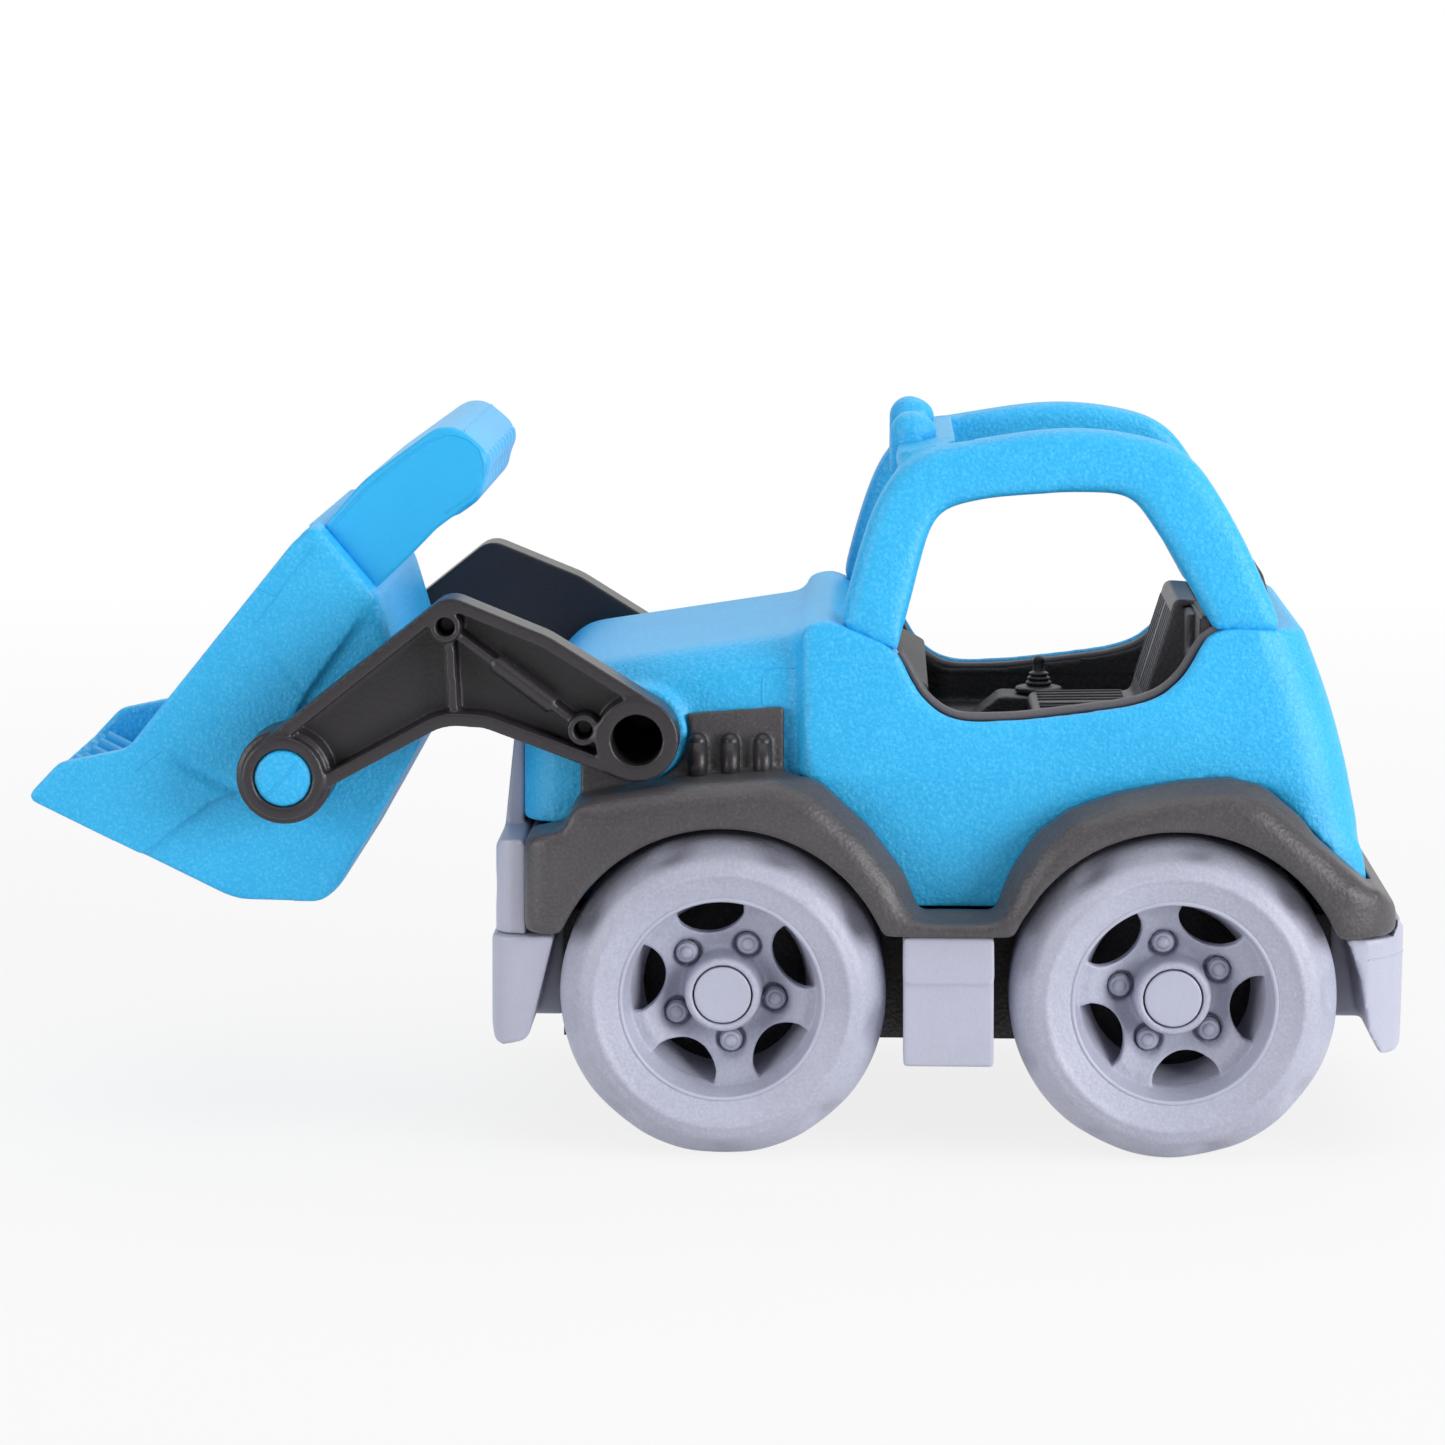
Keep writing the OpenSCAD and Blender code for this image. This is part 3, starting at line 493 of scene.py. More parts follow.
# the tail from the side as heights and places: the solid's straight runs, and the full curve drawn through them
TAIL_FLAT = ((50.0, 57.0, 85.5, 105.6), (85.0, 84.0, 78.2, 71.0))
TAIL_FULL = (
    (50.0, 57.0, 63.0, 70.0, 78.0, 85.5, 91.0, 97.0, 105.6),
    (85.0, 84.1, 83.1, 81.75, 80.05, 78.1, 76.4, 74.3, 71.0),
)


def cab_half(z):
    """Half the width of the cab at a height."""
    return np.interp(z, (76.0, 88.0, 106.0), (49.5, 48.5, 46.0))


def drawn_in(x):
    """How far the solid's tail corner, rounded in plan, lies inside the flat of the cab's side."""
    return 14.0 - np.sqrt(196.0 - np.clip(x - 72.0, 0.0, 13.9) ** 2)


def form_body(mesh, cad):
    """Full, soft shoulders on the hood, an eased window sill, and round tail corners."""
    p = points(mesh)
    hood = ramp(-p[:, 0], 22.0, 28.0) * ramp(p[:, 2], 85.0, 89.0)
    relax(mesh, 45, hood)
    p = points(mesh)
    back = np.interp(p[:, 2], *TAIL_FLAT)
    side = cab_half(p[:, 2])
    u, v = np.maximum(back - p[:, 0], 0.0), np.maximum(side - drawn_in(p[:, 0]) - np.abs(p[:, 1]), 0.0)
    blend = ramp(p[:, 2], 60.0, 68.0) * ramp(p[:, 0], 60.0, 64.0) * ramp(np.abs(p[:, 1]), 30.0, 34.0)
    u2, v2 = bull_nose(u, v, TAIL_ROUND)
    p[:, 0] += blend * (np.interp(p[:, 2], *TAIL_FULL) - u2 - p[:, 0])
    p[:, 1] += blend * (np.sign(p[:, 1]) * (side - v2) - p[:, 1])
    p[:, 2] -= 1.5 * ramp(-p[:, 0], 68.0, 72.0) * ramp(70.0 - p[:, 2], 0.0, 1.5)
    set_points(mesh, p)
    relax(mesh, 45, ramp(p[:, 0], 58.0, 66.0) * ramp(p[:, 2], 64.0, 72.0) * ramp(104.5 - p[:, 2], 0.0, 2.0))
    on_sill = lambda q: (np.abs(q[:, 1]) > 35.0) & (q[:, 2] > 84.0)
    ease_outline(mesh, SILL_EVEN[16:-16], SILL_SOFT[16:-16], 4.0, on_sill)
    p = points(mesh)
    sill = ramp(p[:, 0], -27.0, -22.0) * ramp(-p[:, 0], -69.0, -66.0) * ramp(p[:, 2], 84.0, 86.0)
    seats = np.maximum(ramp(-np.abs(p[:, 0] + 16.0), -11.0, -8.0), ramp(-np.abs(p[:, 0] - 59.5), -11.0, -8.0))
    relax(mesh, 28, sill * (1.0 - seats * ramp(p[:, 2], 97.0, 100.0)))


def swell(mesh, amount, weight):
    """Moves the skin outwards by an amount in millimetres, to make up for what rounding takes off."""
    set_points(mesh, points(mesh) + per_point(mesh, "normal") * (amount * weight)[:, None])


ARCH_OUTER = [
    (66.1, 105.7, 0), (58.2, 123.8, 0), (47.4, 141.4, 7), (30.0, 144.8, 25), (20.0, 144.8, 25),
    (-8.6, 140.0, 8), (-14.6, 131.4, 0), (-19.4, 116.0, 0), (-21.9, 104.6, 0),
]
ARCH_INNER = [
    (-10.7, 100.4, 0), (-9.4, 106.4, 0), (-5.0, 123.9, 0), (-2.6, 129.2, 4), (8.0, 131.6, 10),
    (23.0, 132.7, 20), (36.4, 132.5, 4), (44.6, 120.4, 0), (52.7, 106.0, 0),
]


def form_roof(mesh, cad):
    """Round-edged arches with eased outlines, a flat-topped bar between them, and feet that sit tight."""
    on_arch = lambda q: (np.abs(q[:, 1]) > 29.5) & (q[:, 2] > 106.5)
    ease_outline(mesh, *softened(ARCH_OUTER, 5.0), 4.5, on_arch)
    ease_outline(mesh, *softened(ARCH_INNER, 2.2), 3.5, on_arch)
    p = points(mesh)
    bar = ramp(p[:, 2], 133.0, 134.0) * ramp(-p[:, 0], -2.0, -1.0) * ramp(29.4 - np.abs(p[:, 1]), 0.0, 0.8)
    free = ramp(p[:, 2], 102.0, 109.0) * (1.0 - bar)
    swell(mesh, 0.45, free)
    relax(mesh, 70, free)
    p = points(mesh)
    foot = ramp(-per_point(mesh, "normal")[:, 2], 0.4, 0.8) * ramp(109.0 - p[:, 2], 0.0, 1.0)
    p[:, 2] -= 0.5 * foot
    between = ramp(35.4 - np.abs(p[:, 1]), 0.0, 0.8) * ramp(p[:, 2], 133.0, 134.5)
    rear = ramp(30.4 - np.abs(p[:, 1]), 0.0, 0.8) * ramp(p[:, 0], -5.0, -1.5) * ramp(2.0 - p[:, 0], 0.0, 1.0)
    p[:, 0] += 2.0 * between * rear
    top = np.interp(p[:, 0], (-12.0, -9.0, 2.0), (140.0, 140.8, 142.8)) - 0.7 * ramp(np.abs(p[:, 1]), 25.0, 31.0)
    p[:, 2] -= 0.97 * between * np.clip(p[:, 2] - top, 0.0, None) * ramp(5.0 - p[:, 0], 0.0, 1.0)
    set_points(mesh, p)
    relax(mesh, 8, between * ramp(5.0 - p[:, 0], 0.0, 2.0))


# corners of the fender's plan outline, front and rear, and the round of its upper edge
PLAN_ROUND = (5.0, 13.0)
FENDER_ROUND = 5.6
# the stretch of the fender beside the cab: its middle and half its length
BESIDE_CAB = (20.0, 54.0)
# how far the ledge beside the cab rises to the foot of the body
LEDGE_RISE = 1.2


def plan_depth(p, low, high):
    """Depth inside the fender's plan outline, a rectangle with rounded corners, and the way out."""
    mid = (low + high) / 2
    half = (high - low) / 2
    r = np.where(p[:, 0] < mid[0], *PLAN_ROUND)
    q = np.abs(p[:, :2] - mid) - (half - r[:, None])
    out = np.maximum(q, 0.0)
    far = np.hypot(out[:, 0], out[:, 1])
    depth = r - far - np.minimum(q.max(1), 0.0)
    side = np.where((q[:, 0] > q[:, 1])[:, None], (1.0, 0.0), (0.0, 1.0))
    way = np.where((far > 1e-6)[:, None], out / np.maximum(far, 1e-6)[:, None], side)
    way = way * np.sign(p[:, :2] - mid)
    return depth, np.column_stack([way, np.zeros(len(p))])


def upper_edge(cad, low, high):
    """Points along the fender's outer upper edge, and the way the top faces at each, evened out along the edge."""
    bm = bmesh.new()
    bm.from_mesh(cad)
    edge, up = [], []
    for e in bm.edges:
        if len(e.link_faces) != 2:
            continue
        wall, top = sorted(e.link_faces, key=lambda f: abs(f.normal.z))
        if abs(wall.normal.z) > 0.02 or top.normal.z < 0.2:
            continue
        a, b = (np.array(v.co) / MM - (WHEELBASE_MID, 0.0, 0.0) for v in e.verts)
        n = max(1, int(np.linalg.norm(b - a) / 0.6))
        for k in range(n + 1):
            edge.append(a + (b - a) * k / n)
            up.append(np.array(top.normal))
    bm.free()
    edge, up = np.array(edge), np.array(up)
    on_rim = plan_depth(edge, low, high)[0] < 0.06
    edge, up = edge[on_rim], up[on_rim]
    near = np.exp(-(((edge[:, None] - edge[None]) ** 2).sum(2)) / 16.0)
    up = near @ up
    return edge, up / np.linalg.norm(up, axis=1)[:, None]


def form_fender(mesh, cad):
    """Bull-nosed upper edge all round the fender moulding, and a ledge that rises to the body beside the cab."""
    p = points(mesh)
    flat = points(cad)
    low, high = flat[:, :2].min(0), flat[:, :2].max(0)
    foot = flat[:, 2].min()
    edge, up = upper_edge(cad, low, high)
    v, way = plan_depth(p, low, high)

    def below_edge(chunk):
        """The edge point nearest each of some points, level across the ledge, and the depth below the top there."""
        wall = p[chunk] + way[chunk] * v[chunk, None]
        k = ((wall[:, None, :] - edge[None]) ** 2).sum(2).argmin(1)
        return k, ((edge[k] - wall) * up[k]).sum(1)

    for chunk in in_runs((v < FENDER_ROUND) & (p[:, 2] > foot - 1.0)):
        k, u = below_edge(chunk)
        r = np.clip((edge[k, 2] - foot) * 0.72, 0.8, FENDER_ROUND)
        r = np.minimum(r, 0.8 + FENDER_ROUND * ramp(edge[k, 0], -77.0, -66.0) * ramp(-edge[k, 0], -86.0, -76.0))
        uu, vv = np.clip(u, 0.0, None), np.clip(v[chunk], 0.0, None)
        new_u, new_v = bull_nose(uu, vv, r)
        inside = (u > -0.6)[:, None]
        move = -way[chunk] * (new_v - vv)[:, None] - up[k] * (new_u - uu)[:, None]
        p[chunk] += np.where(inside, move, 0.0)
    set_points(mesh, p)
    relax(mesh, 26, ramp(FENDER_ROUND + 0.4 - v, 0.0, 1.4))
    p = points(mesh)
    mid, reach = BESIDE_CAB
    beside = (v > FENDER_ROUND - 2.6) & (v < 10.0) & (np.abs(p[:, 1]) > 46.0) & (np.abs(p[:, 0] - mid) < reach)
    for chunk in in_runs(beside):
        k, u = below_edge(chunk)
        lift = ramp(v[chunk], FENDER_ROUND - 2.4, FENDER_ROUND + 2.0) * ramp(1.8 - np.abs(u), 0.0, 1.0)
        lift *= ramp(reach - np.abs(p[chunk, 0] - mid), 0.0, 6.0)
        p[chunk] += up[k] * (LEDGE_RISE * lift)[:, None]
    set_points(mesh, p)
    relax(mesh, 20, ramp(v, 2.0, 3.0) * ramp(7.0 - v, 0.0, 1.0) * ramp(reach - np.abs(p[:, 0] - mid), 0.0, 6.0))


def off_line(p, a, b):
    """Signed distance of side-view points from the line a to b, and how far along it they lie."""
    a, b = np.array(a), np.array(b)
    d = (b - a) / np.linalg.norm(b - a)
    q = p[:, (0, 2)] - TRUNNION - a
    return q[:, 0] * d[1] - q[:, 1] * d[0], q @ d / np.linalg.norm(b - a)


def form_bucket(mesh, cad):
    """Soft top corners on the cheeks, a soft heel, and the folds pressed into the cheeks."""
    p = points(mesh)
    top = off_line(p, (4.5, 50.5), (17.6, 34.9))[0]
    cheek = ramp(np.abs(p[:, 1]), 35.4, 36.4)
    relax(mesh, 60, cheek * ramp(7.5 - np.abs(top), 0.0, 3.0))
    p = points(mesh)
    heel = np.hypot(p[:, 0] - TRUNNION[0] - 9.5, p[:, 2] - TRUNNION[1] + 21.5)
    relax(mesh, 90, ramp(8.0 - heel, 0.0, 4.0))
    p = points(mesh)
    skin = ramp(np.abs(p[:, 1]), 37.4, 38.6)
    s, t = off_line(p, (-6.6, 27.6), (4.0, 15.4))
    fold = np.clip(1.0 - np.abs(s - 1.2) / 1.2, 0.0, 1.0) * ramp(t, 0.0, 0.3) * ramp(1.1 - t, 0.0, 0.15)
    dip = 0.28 * fold
    s, t = off_line(p, (-26.2, 2.2), (-12.0, -5.1))
    dip += 0.95 * np.exp(-((s / 1.3) ** 2)) * ramp(t, -0.1, 0.3) * ramp(1.2 - t, 0.0, 0.2)
    p[:, 1] -= np.sign(p[:, 1]) * dip * skin
    set_points(mesh, p)


def form_handle(mesh, cad):
    """A rounded grip with finger rolls behind and below, on a foot that sits tight on the bucket."""
    p = points(mesh)
    q = p[:, (0, 2)] - TRUNNION
    grip = ramp(q[:, 0], 27.0, 30.0) * ramp(q[:, 1], 47.0, 49.0)
    relax(mesh, 26, grip * ramp(34.0 - np.abs(p[:, 1]), 0.0, 1.5))
    relax(mesh, 5, ramp(q[:, 1], 50.0, 52.0))
    p = points(mesh)
    out = np.array((0.766, 0.643))
    foot = ramp(37.4 - (p[:, (0, 2)] - TRUNNION) @ out, 0.0, 1.0)
    p[:, (0, 2)] -= 0.5 * foot[:, None] * out
    q = p[:, (0, 2)] - TRUNNION - (33.0, 60.4)
    far = np.hypot(q[:, 0], q[:, 1])
    turn = np.degrees(np.arctan2(q[:, 1], q[:, 0]))
    under = ramp(24.0 - turn, 0.0, 4.0) * ramp(turn, -100.0, -86.0)
    under *= ramp(far, 3.4, 4.4) * ramp(34.6 - np.abs(p[:, 1]), 0.0, 0.8)
    roll = 1.4 * np.sqrt(np.abs(np.cos(np.pi * p[:, 1] / 7.7))) - 0.8
    p[:, (0, 2)] += q / np.maximum(far, 1.0)[:, None] * (under * roll)[:, None]
    set_points(mesh, p)


def form_seat(mesh, cad):
    """A seat back as thick as a cushion."""
    p = points(mesh)
    t = p[:, 0] - (40.6 + (p[:, 2] - 88.4) * 0.305)
    p[:, 0] += 4.6 * ramp(t, 0.8, 2.4) * ramp(p[:, 2], 85.0, 89.0) * ramp(107.5 - p[:, 2], 0.0, 4.0)
    set_points(mesh, p)


def form_tub(mesh, cad):
    """The rim lies a little lower on the right."""
    p = points(mesh)
    p[:, 2] -= 1.1 * ramp(p[:, 1], 38.0, 39.0) * ramp(p[:, 2], 84.0, 86.0)
    set_points(mesh, p)


def form_tail_bumper(mesh, cad):
    """A narrow gap under the fender's rim, and a lip behind the fender that thins out towards its top."""
    p = points(mesh)
    ledge = ramp(p[:, 2], RIM_Z - 2.4, RIM_Z - 1.0) * ramp(47.4 - p[:, 2], 0.0, 0.6) * ramp(89.3 - p[:, 0], 0.0, 0.4)
    p[:, 2] -= 0.9 * ledge
    high = ramp(p[:, 2], 45.6, 47.0)
    p[:, 0] -= high * np.clip(p[:, 0] - 90.4, 0.0, None) * 0.8
    p[:, 2] -= high * np.clip(p[:, 2] - 47.6, 0.0, None) * 0.8
    set_points(mesh, p)


def form_step(mesh, cad):
    """Lower block brought out nearly flush with the tread block above it."""
    p = points(mesh)
    side = np.sign(p[:, 1].mean())
    face = np.abs(points(cad)[:, 1]).max()
    lower = ramp(37.6 - p[:, 2], 0.0, 1.2) * ramp(np.abs(p[:, 1]), face - 2.4, face - 0.9)
    p[:, 1] += side * 0.78 * lower
    set_points(mesh, p)


def tail_plug(side):
    """Fills the narrow slot that the open cab leaves in a lower tail corner."""
    x = np.linspace(76.5, 82.0, 8)
    y = 49.2 - drawn_in(x)
    ring = list(zip(x, y)) + list(zip(x[::-1], y[::-1] - 4.0))
    n = len(ring)
    verts = [at(a, side * b, z) for z in (56.8, 67.0) for a, b in ring]
    faces = [tuple(range(n)), tuple(range(2 * n - 1, n - 1, -1))]
    faces += [(k, k + n, (k + 1) % n + n, (k + 1) % n) for k in range(n)]
    mesh = bpy.data.meshes.new("plug")
    mesh.from_pydata(verts, [], faces)
    bm = bmesh.new()
    bm.from_mesh(mesh)
    bmesh.ops.recalc_face_normals(bm, faces=bm.faces[:])
    bm.to_mesh(mesh)
    bm.free()
    return mesh


body = soft_piece("body_shell", BLUE, 0.5, 5, 190000, form_body, [tail_plug(-1), tail_plug(1)])
soft_piece("roof_frame", BLUE, 0.5, 3, 110000, form_roof)
soft_piece("fender_skirt", CHARCOAL, 0.5, 4, 180000, form_fender)
bucket = soft_piece("bucket", BLUE, 0.5, 5, 180000, form_bucket)
handle = soft_piece("bucket_handle", BLUE_SMOOTH, 0.45, 4, 90000, form_handle)
soft_piece("arm_left", CHARCOAL_SMOOTH, 0.36, 3, 110000)
soft_piece("arm_right", CHARCOAL_SMOOTH, 0.36, 3, 110000)
soft_piece("interior_tub", CAB_TUB, 0.5, 3, 110000, form_tub)
soft_piece("seat", CHARCOAL, 0.4, 4, 60000, form_seat)
for n in ("front_grille", "front_bumper"):
    soft_piece(n, GREY_SMOOTH, 0.45, 3, 50000)
for n in ("side_step_left", "side_step_right"):
    soft_piece(n, GREY_SMOOTH, 0.45, 3, 50000, form_step)
bumper = soft_piece("rear_bumper", GREY_SMOOTH, 0.45, 4, 50000, form_tail_bumper)
for n, m in (("chassis", CAB_DARK), ("chassis_screws", STEEL)):
    NODES[n].data.materials.clear()
    NODES[n].data.materials.append(m)


# Wheels


def bead_form():
    """A round bead along every line of the base mesh."""
    f = Form("bead", Bead_radius=0.0002, Sides=8)
    ring = f.node("GeometryNodeCurvePrimitiveCircle", Resolution=f.size("Sides"), Radius=f.size("Bead radius"))
    line = f.node("GeometryNodeMeshToCurve", Mesh=f.shape)
    return f.end(f.node("GeometryNodeCurveToMesh", Curve=line, Profile_Curve=ring, Fill_Caps=True))


BEAD = bead_form()


def lines_mesh(lines):
    """Open lines of points, given in millimetres, as a mesh of edges."""
    verts, edges = [], []
    for line in lines:
        edges += [(len(verts) + k, len(verts) + k + 1) for k in range(len(line) - 1)]
        verts += [at(*q) for q in line]
    mesh = bpy.data.meshes.new("lines")
    mesh.from_pydata(verts, edges, [])
    return mesh


# for each wheel: mirrored or not, turn from the front left one in degrees, and distance behind it
WHEELS = {
    "front_left": (False, 0.0, 0.0),
    "front_right": (True, 0.0, 0.0),
    "rear_left": (False, 253.5, 2 * AXLE_X),
    "rear_right": (True, 253.5, 2 * AXLE_X),
}


def to_wheel(mesh, name):
    """A copy of a front left wheel's mesh, turned and set on another axle end."""
    mirrored, spin, shift = WHEELS[name]
    out = mesh.copy()
    hub = at(-AXLE_X, 0.0, AXLE_Z)
    turn = Matrix.Rotation(math.radians(spin), 4, Vector((0.0, -1.0, 0.0)))
    out.transform(Matrix.Translation(hub + Vector((shift * MM, 0.0, 0.0))) @ turn @ Matrix.Translation(-hub))
    if mirrored:
        out.transform(Matrix.Scale(-1.0, 4, Vector((0.0, 1.0, 0.0))))
        out.flip_normals()
    return out


# depth of the dents in the tyre's shoulder
DENT = 1.0
# how far the hub and the lugs lie behind those of the solid's flat wheel
HUB_SET = 5.2
LUG_SET = 6.5
LUG_RING = 10.6
# direction of the first spoke, in degrees, and the step from one to the next
FIRST_SPOKE = -81.5
SPOKE_STEP = 72.0
# the spokes' face: depth below the tyre's face by radius, in the scene and in the solid
BOWL = ((7.9, 9.2, 10.8, 14.0, 17.4), (13.8, 13.5, 12.6, 10.0, 8.0))
FLAT = ((7.9, 19.3), (6.0, 6.6))
# the dish's side wall is a cone from the rim line inwards; the spokes' ends begin at this radius in the solid
RIM_RADIUS, RIM_DEPTH, CONE_SLOPE = 20.2, 1.9, 0.21
SPOKE_END = 17.0


def form_wheel(mesh, cad):
    """Shallow dents round the tyre's shoulder, a groove round each lug, and spokes that fall in to a deep hub."""
    p = points(mesh)
    x, z = p[:, 0] + AXLE_X, p[:, 2] - AXLE_Z
    r = np.hypot(x, z)
    depth = WHEEL_FACE + p[:, 1]
    off = (np.degrees(np.arctan2(z, x)) - 29.5 + 20.0) % 40.0 - 20.0
    dent = DENT * np.exp(-((off / 7.0) ** 2)) * np.exp(-(((r - 31.2) / 1.7) ** 2)) * ramp(9.0 - depth, 0.0, 3.0)
    p[:, 0] -= dent * x / np.maximum(r, 1.0)
    p[:, 2] -= dent * z / np.maximum(r, 1.0)
    p[:, 1] += dent
    turn = math.radians(SPOKE_STEP)
    a = np.arctan2(z, x) - math.radians(FIRST_SPOKE)
    a -= turn * np.round(a / turn)
    ring = np.hypot(r * np.cos(a) - LUG_RING, r * np.sin(a))
    groove = ramp(ring, 2.1, 2.4) * ramp(3.15 - ring, 0.0, 0.3) * ramp(depth, 4.5, 5.5) * ramp(9.0 - depth, 0.0, 0.6)
    p[:, 1] += 0.9 * groove
    p[:, 1] -= 0.3 * np.exp(-(((r - 25.6) / 0.8) ** 2)) * ramp(3.0 - depth, 0.0, 1.0)
    push = np.interp(r, *BOWL) - np.interp(r, *FLAT)
    hub = HUB_SET + (7.8 - HUB_SET) * np.clip((depth - 1.0) / 5.0, 0.0, 1.0)
    push = np.where(r < 8.3, hub * (1.0 - ramp(depth, 10.0, 23.0)), push)
    push = np.where(ring < 2.35, LUG_SET + 1.2, push)
    p[:, 1] += np.where(r <= SPOKE_END, push, 0.0)
    # one straight cone from the rim line in through the windows, with the spokes running out to it
    run = 4.8 * np.clip((depth - RIM_DEPTH) / 4.7, 0.0, 1.0) + np.clip(19.3 - r, 0.0, 2.2)
    wall = (r > SPOKE_END) & (r < RIM_RADIUS) & (depth > RIM_DEPTH) & (depth < 7.3)
    barrel = ((r > SPOKE_END) & (depth >= 7.3)) * ramp(21.5 - r, 0.0, 3.0)
    sunk = np.interp(depth, (7.3, 11.0, 40.0), (8.2, 11.0, 40.0))
    sunk = np.where(wall, np.interp(run, (0.0, 5.2, 7.0), (RIM_DEPTH, 7.5, 8.2)), sunk)
    cone = RIM_RADIUS - CONE_SLOPE * (sunk - RIM_DEPTH)
    p[:, 1] += np.where(wall, 1.0, barrel) * (sunk - depth)
    draw = np.where(wall, cone - r, barrel * (cone - 17.35))
    p[:, 0] += draw * x / np.maximum(r, 1.0)
    p[:, 2] += draw * z / np.maximum(r, 1.0)
    set_points(mesh, p)
    relax(mesh, 2, ((r > 7.0) & (r < 20.6)).astype(float))


def form_pin(mesh, cad):
    """The head sits as deep as the hub."""
    p = points(mesh)
    p[:, 1] += HUB_SET * (1.0 - ramp(WHEEL_FACE + p[:, 1], 3.2, 22.0))
    set_points(mesh, p)


def lug_form():
    """Domed caps on a ring, each on a bevelled nut."""
    f = Form("lug_caps", Count=5, Ring_radius=LUG_RING * MM, Nut_radius=0.0023, Nut_height=0.0022)
    ring = f.node("GeometryNodeMeshCircle", Vertices=f.size("Count"), Radius=f.size("Ring radius"))
    r, h = f.size("Nut radius"), f.size("Nut height")
    shoulder = r * 0.97

    def cone(foot, top, height):
        return f.node(
            "GeometryNodeMeshCone", "Mesh", Vertices=28, Radius_Bottom=foot, Radius_Top=top, Depth=height
        )

    nut = cone(r, shoulder, h * 0.72)
    bevel = f.node(
        "GeometryNodeTransform",
        Geometry=cone(shoulder, r * 0.74, h * 0.2),
        Translation=f.node("ShaderNodeCombineXYZ", Z=h * 0.72),
    )
    dome = f.node("GeometryNodeMeshUVSphere", "Mesh", Segments=24, Rings=12, Radius=r * 0.6)
    dome = f.node(
        "GeometryNodeTransform",
        Geometry=dome,
        Translation=f.node("ShaderNodeCombineXYZ", Z=h * 0.9),
        Scale=(1.0, 1.0, 0.7),
    )
    cap = f.node("GeometryNodeJoinGeometry", Geometry=[nut, bevel, dome])
    return f.end(f.node("GeometryNodeInstanceOnPoints", Points=ring, Instance=cap))


def wheels():
    """Four wheels with their pins, lug caps and rim lines, all made once for the front left."""
    wheel = soft_mesh(merged_copy("wheel_front_left"), 0.36, 2, 125000, form_wheel)
    pin = soft_mesh(merged_copy("axle_pin_front_left"), 0.3, 2, 20000, form_pin)
    caps = lug_form().make(bpy.data.meshes.new("lug_base"), GREY)
    stand = Matrix.Translation(at(-AXLE_X, -WHEEL_FACE + 7.2 + LUG_SET, AXLE_Z))
    spoke = Matrix.Rotation(math.radians(FIRST_SPOKE), 4, "Z")
    caps.transform(stand @ Matrix.Rotation(math.radians(90.0), 4, "X") @ spoke)
    turn = np.linspace(0.0, 2 * math.pi, 121)
    rim = [[(20.25 * math.cos(t) - AXLE_X, 2.05 - WHEEL_FACE, 20.25 * math.sin(t) + AXLE_Z) for t in turn]]
    line = BEAD.make(lines_mesh(rim), GREY_SMOOTH, Bead_radius=0.0005)
    for name in WHEELS:
        add_piece(to_wheel(line, name), "rim_line_" + name, "wheel_" + name, GREY_SMOOTH)
        stand_for(to_wheel(wheel, name), "wheel_" + name, GREY)
        stand_for(to_wheel(pin, name), "axle_pin_" + name, GREY_SMOOTH)
        add_piece(to_wheel(caps, name), "lug_caps_" + name, "wheel_" + name, GREY_SMOOTH)


wheels()


# Mould lines, ridges, ribs and flutes


def bead_piece(lines, name, body, material, radius):
    """Round beads along lines, as one piece."""
    mesh = BEAD.make(lines_mesh(lines), material, Bead_radius=radius * MM)
    return add_piece(mesh, name, body, material)


def surface_of(obj):
    """The piece's skin, to cast rays on."""
    graph = bpy.context.evaluated_depsgraph_get()
    return BVHTree.FromObject(obj, graph)


def laid_on(tree, path, side, sink=0.0, step=0.7):
    """A side-view line of (x, z) laid on the outside of a piece, on the left (-1) or right (1)."""
    line = []
    for (x0, z0), (x1, z1) in zip(path, path[1:]):
        n = max(1, int(math.hypot(x1 - x0, z1 - z0) / step))
        line += [(x0 + (x1 - x0) * k / n, z0 + (z1 - z0) * k / n) for k in range(n)]
    line.append(path[-1])
    out = []
    for x, z in line:
        hit = tree.ray_cast(at(x, side * 90.0, z), Vector((0.0, -side, 0.0)))[0]
        if hit is not None:
            out.append((x, hit.y / MM - side * sink, z))
    return out


def from_trunnion(path):
    """A side-view path given from the bucket's pivot."""
    return [(x + TRUNNION[0], z + TRUNNION[1]) for x, z in path]


def rounded_path(path, radius, n=6):
    """An open side-view path with its inner corners rounded."""
    out = [path[0]]
    for a, b, c in zip(path, path[1:], path[2:]):
        a, b, c = (np.array(q, float) for q in (a, b, c))
        u, v = (a - b) / np.linalg.norm(a - b), (c - b) / np.linalg.norm(c - b)
        for t in np.linspace(0.0, 1.0, n):
            out.append(tuple(b + u * radius * (1 - t) ** 2 + v * radius * t ** 2))
    return out + [path[-1]]


def mould_lines():
    """Raised lines on the bucket's cheeks and trunnions, and the seam at the back of the hood."""
    tree = surface_of(bucket)
    cheek = [
        [(4.8, 45.0), (-7.3, 28.9)],
        [(-7.2, 36.6), (-3.2, 34.6)],
        [(-26.8, 2.9), (-32.1, -1.3)],
    ]
    seam = [(-4.4, -4.9), (4.4, 4.9)]
    for side, hand in HANDS:
        lines = [laid_on(tree, from_trunnion(c), side, 0.05) for c in cheek]
        lines.append(laid_on(tree, from_trunnion(seam), side, 0.02))
        bead_piece(lines, "bucket_mould_lines_" + hand, "bucket", BLUE_SMOOTH, 0.2)
    tree = surface_of(body)
    panel = rounded_path([(-37.4, 89.8), (-37.4, 97.3), (-31.0, 97.3)], 3.0)
    for side, hand in HANDS:
        line = laid_on(tree, panel, side, 0.06)
        bead_piece([line], "hood_seam_" + hand, "vehicle", BLUE_SMOOTH, 0.22)


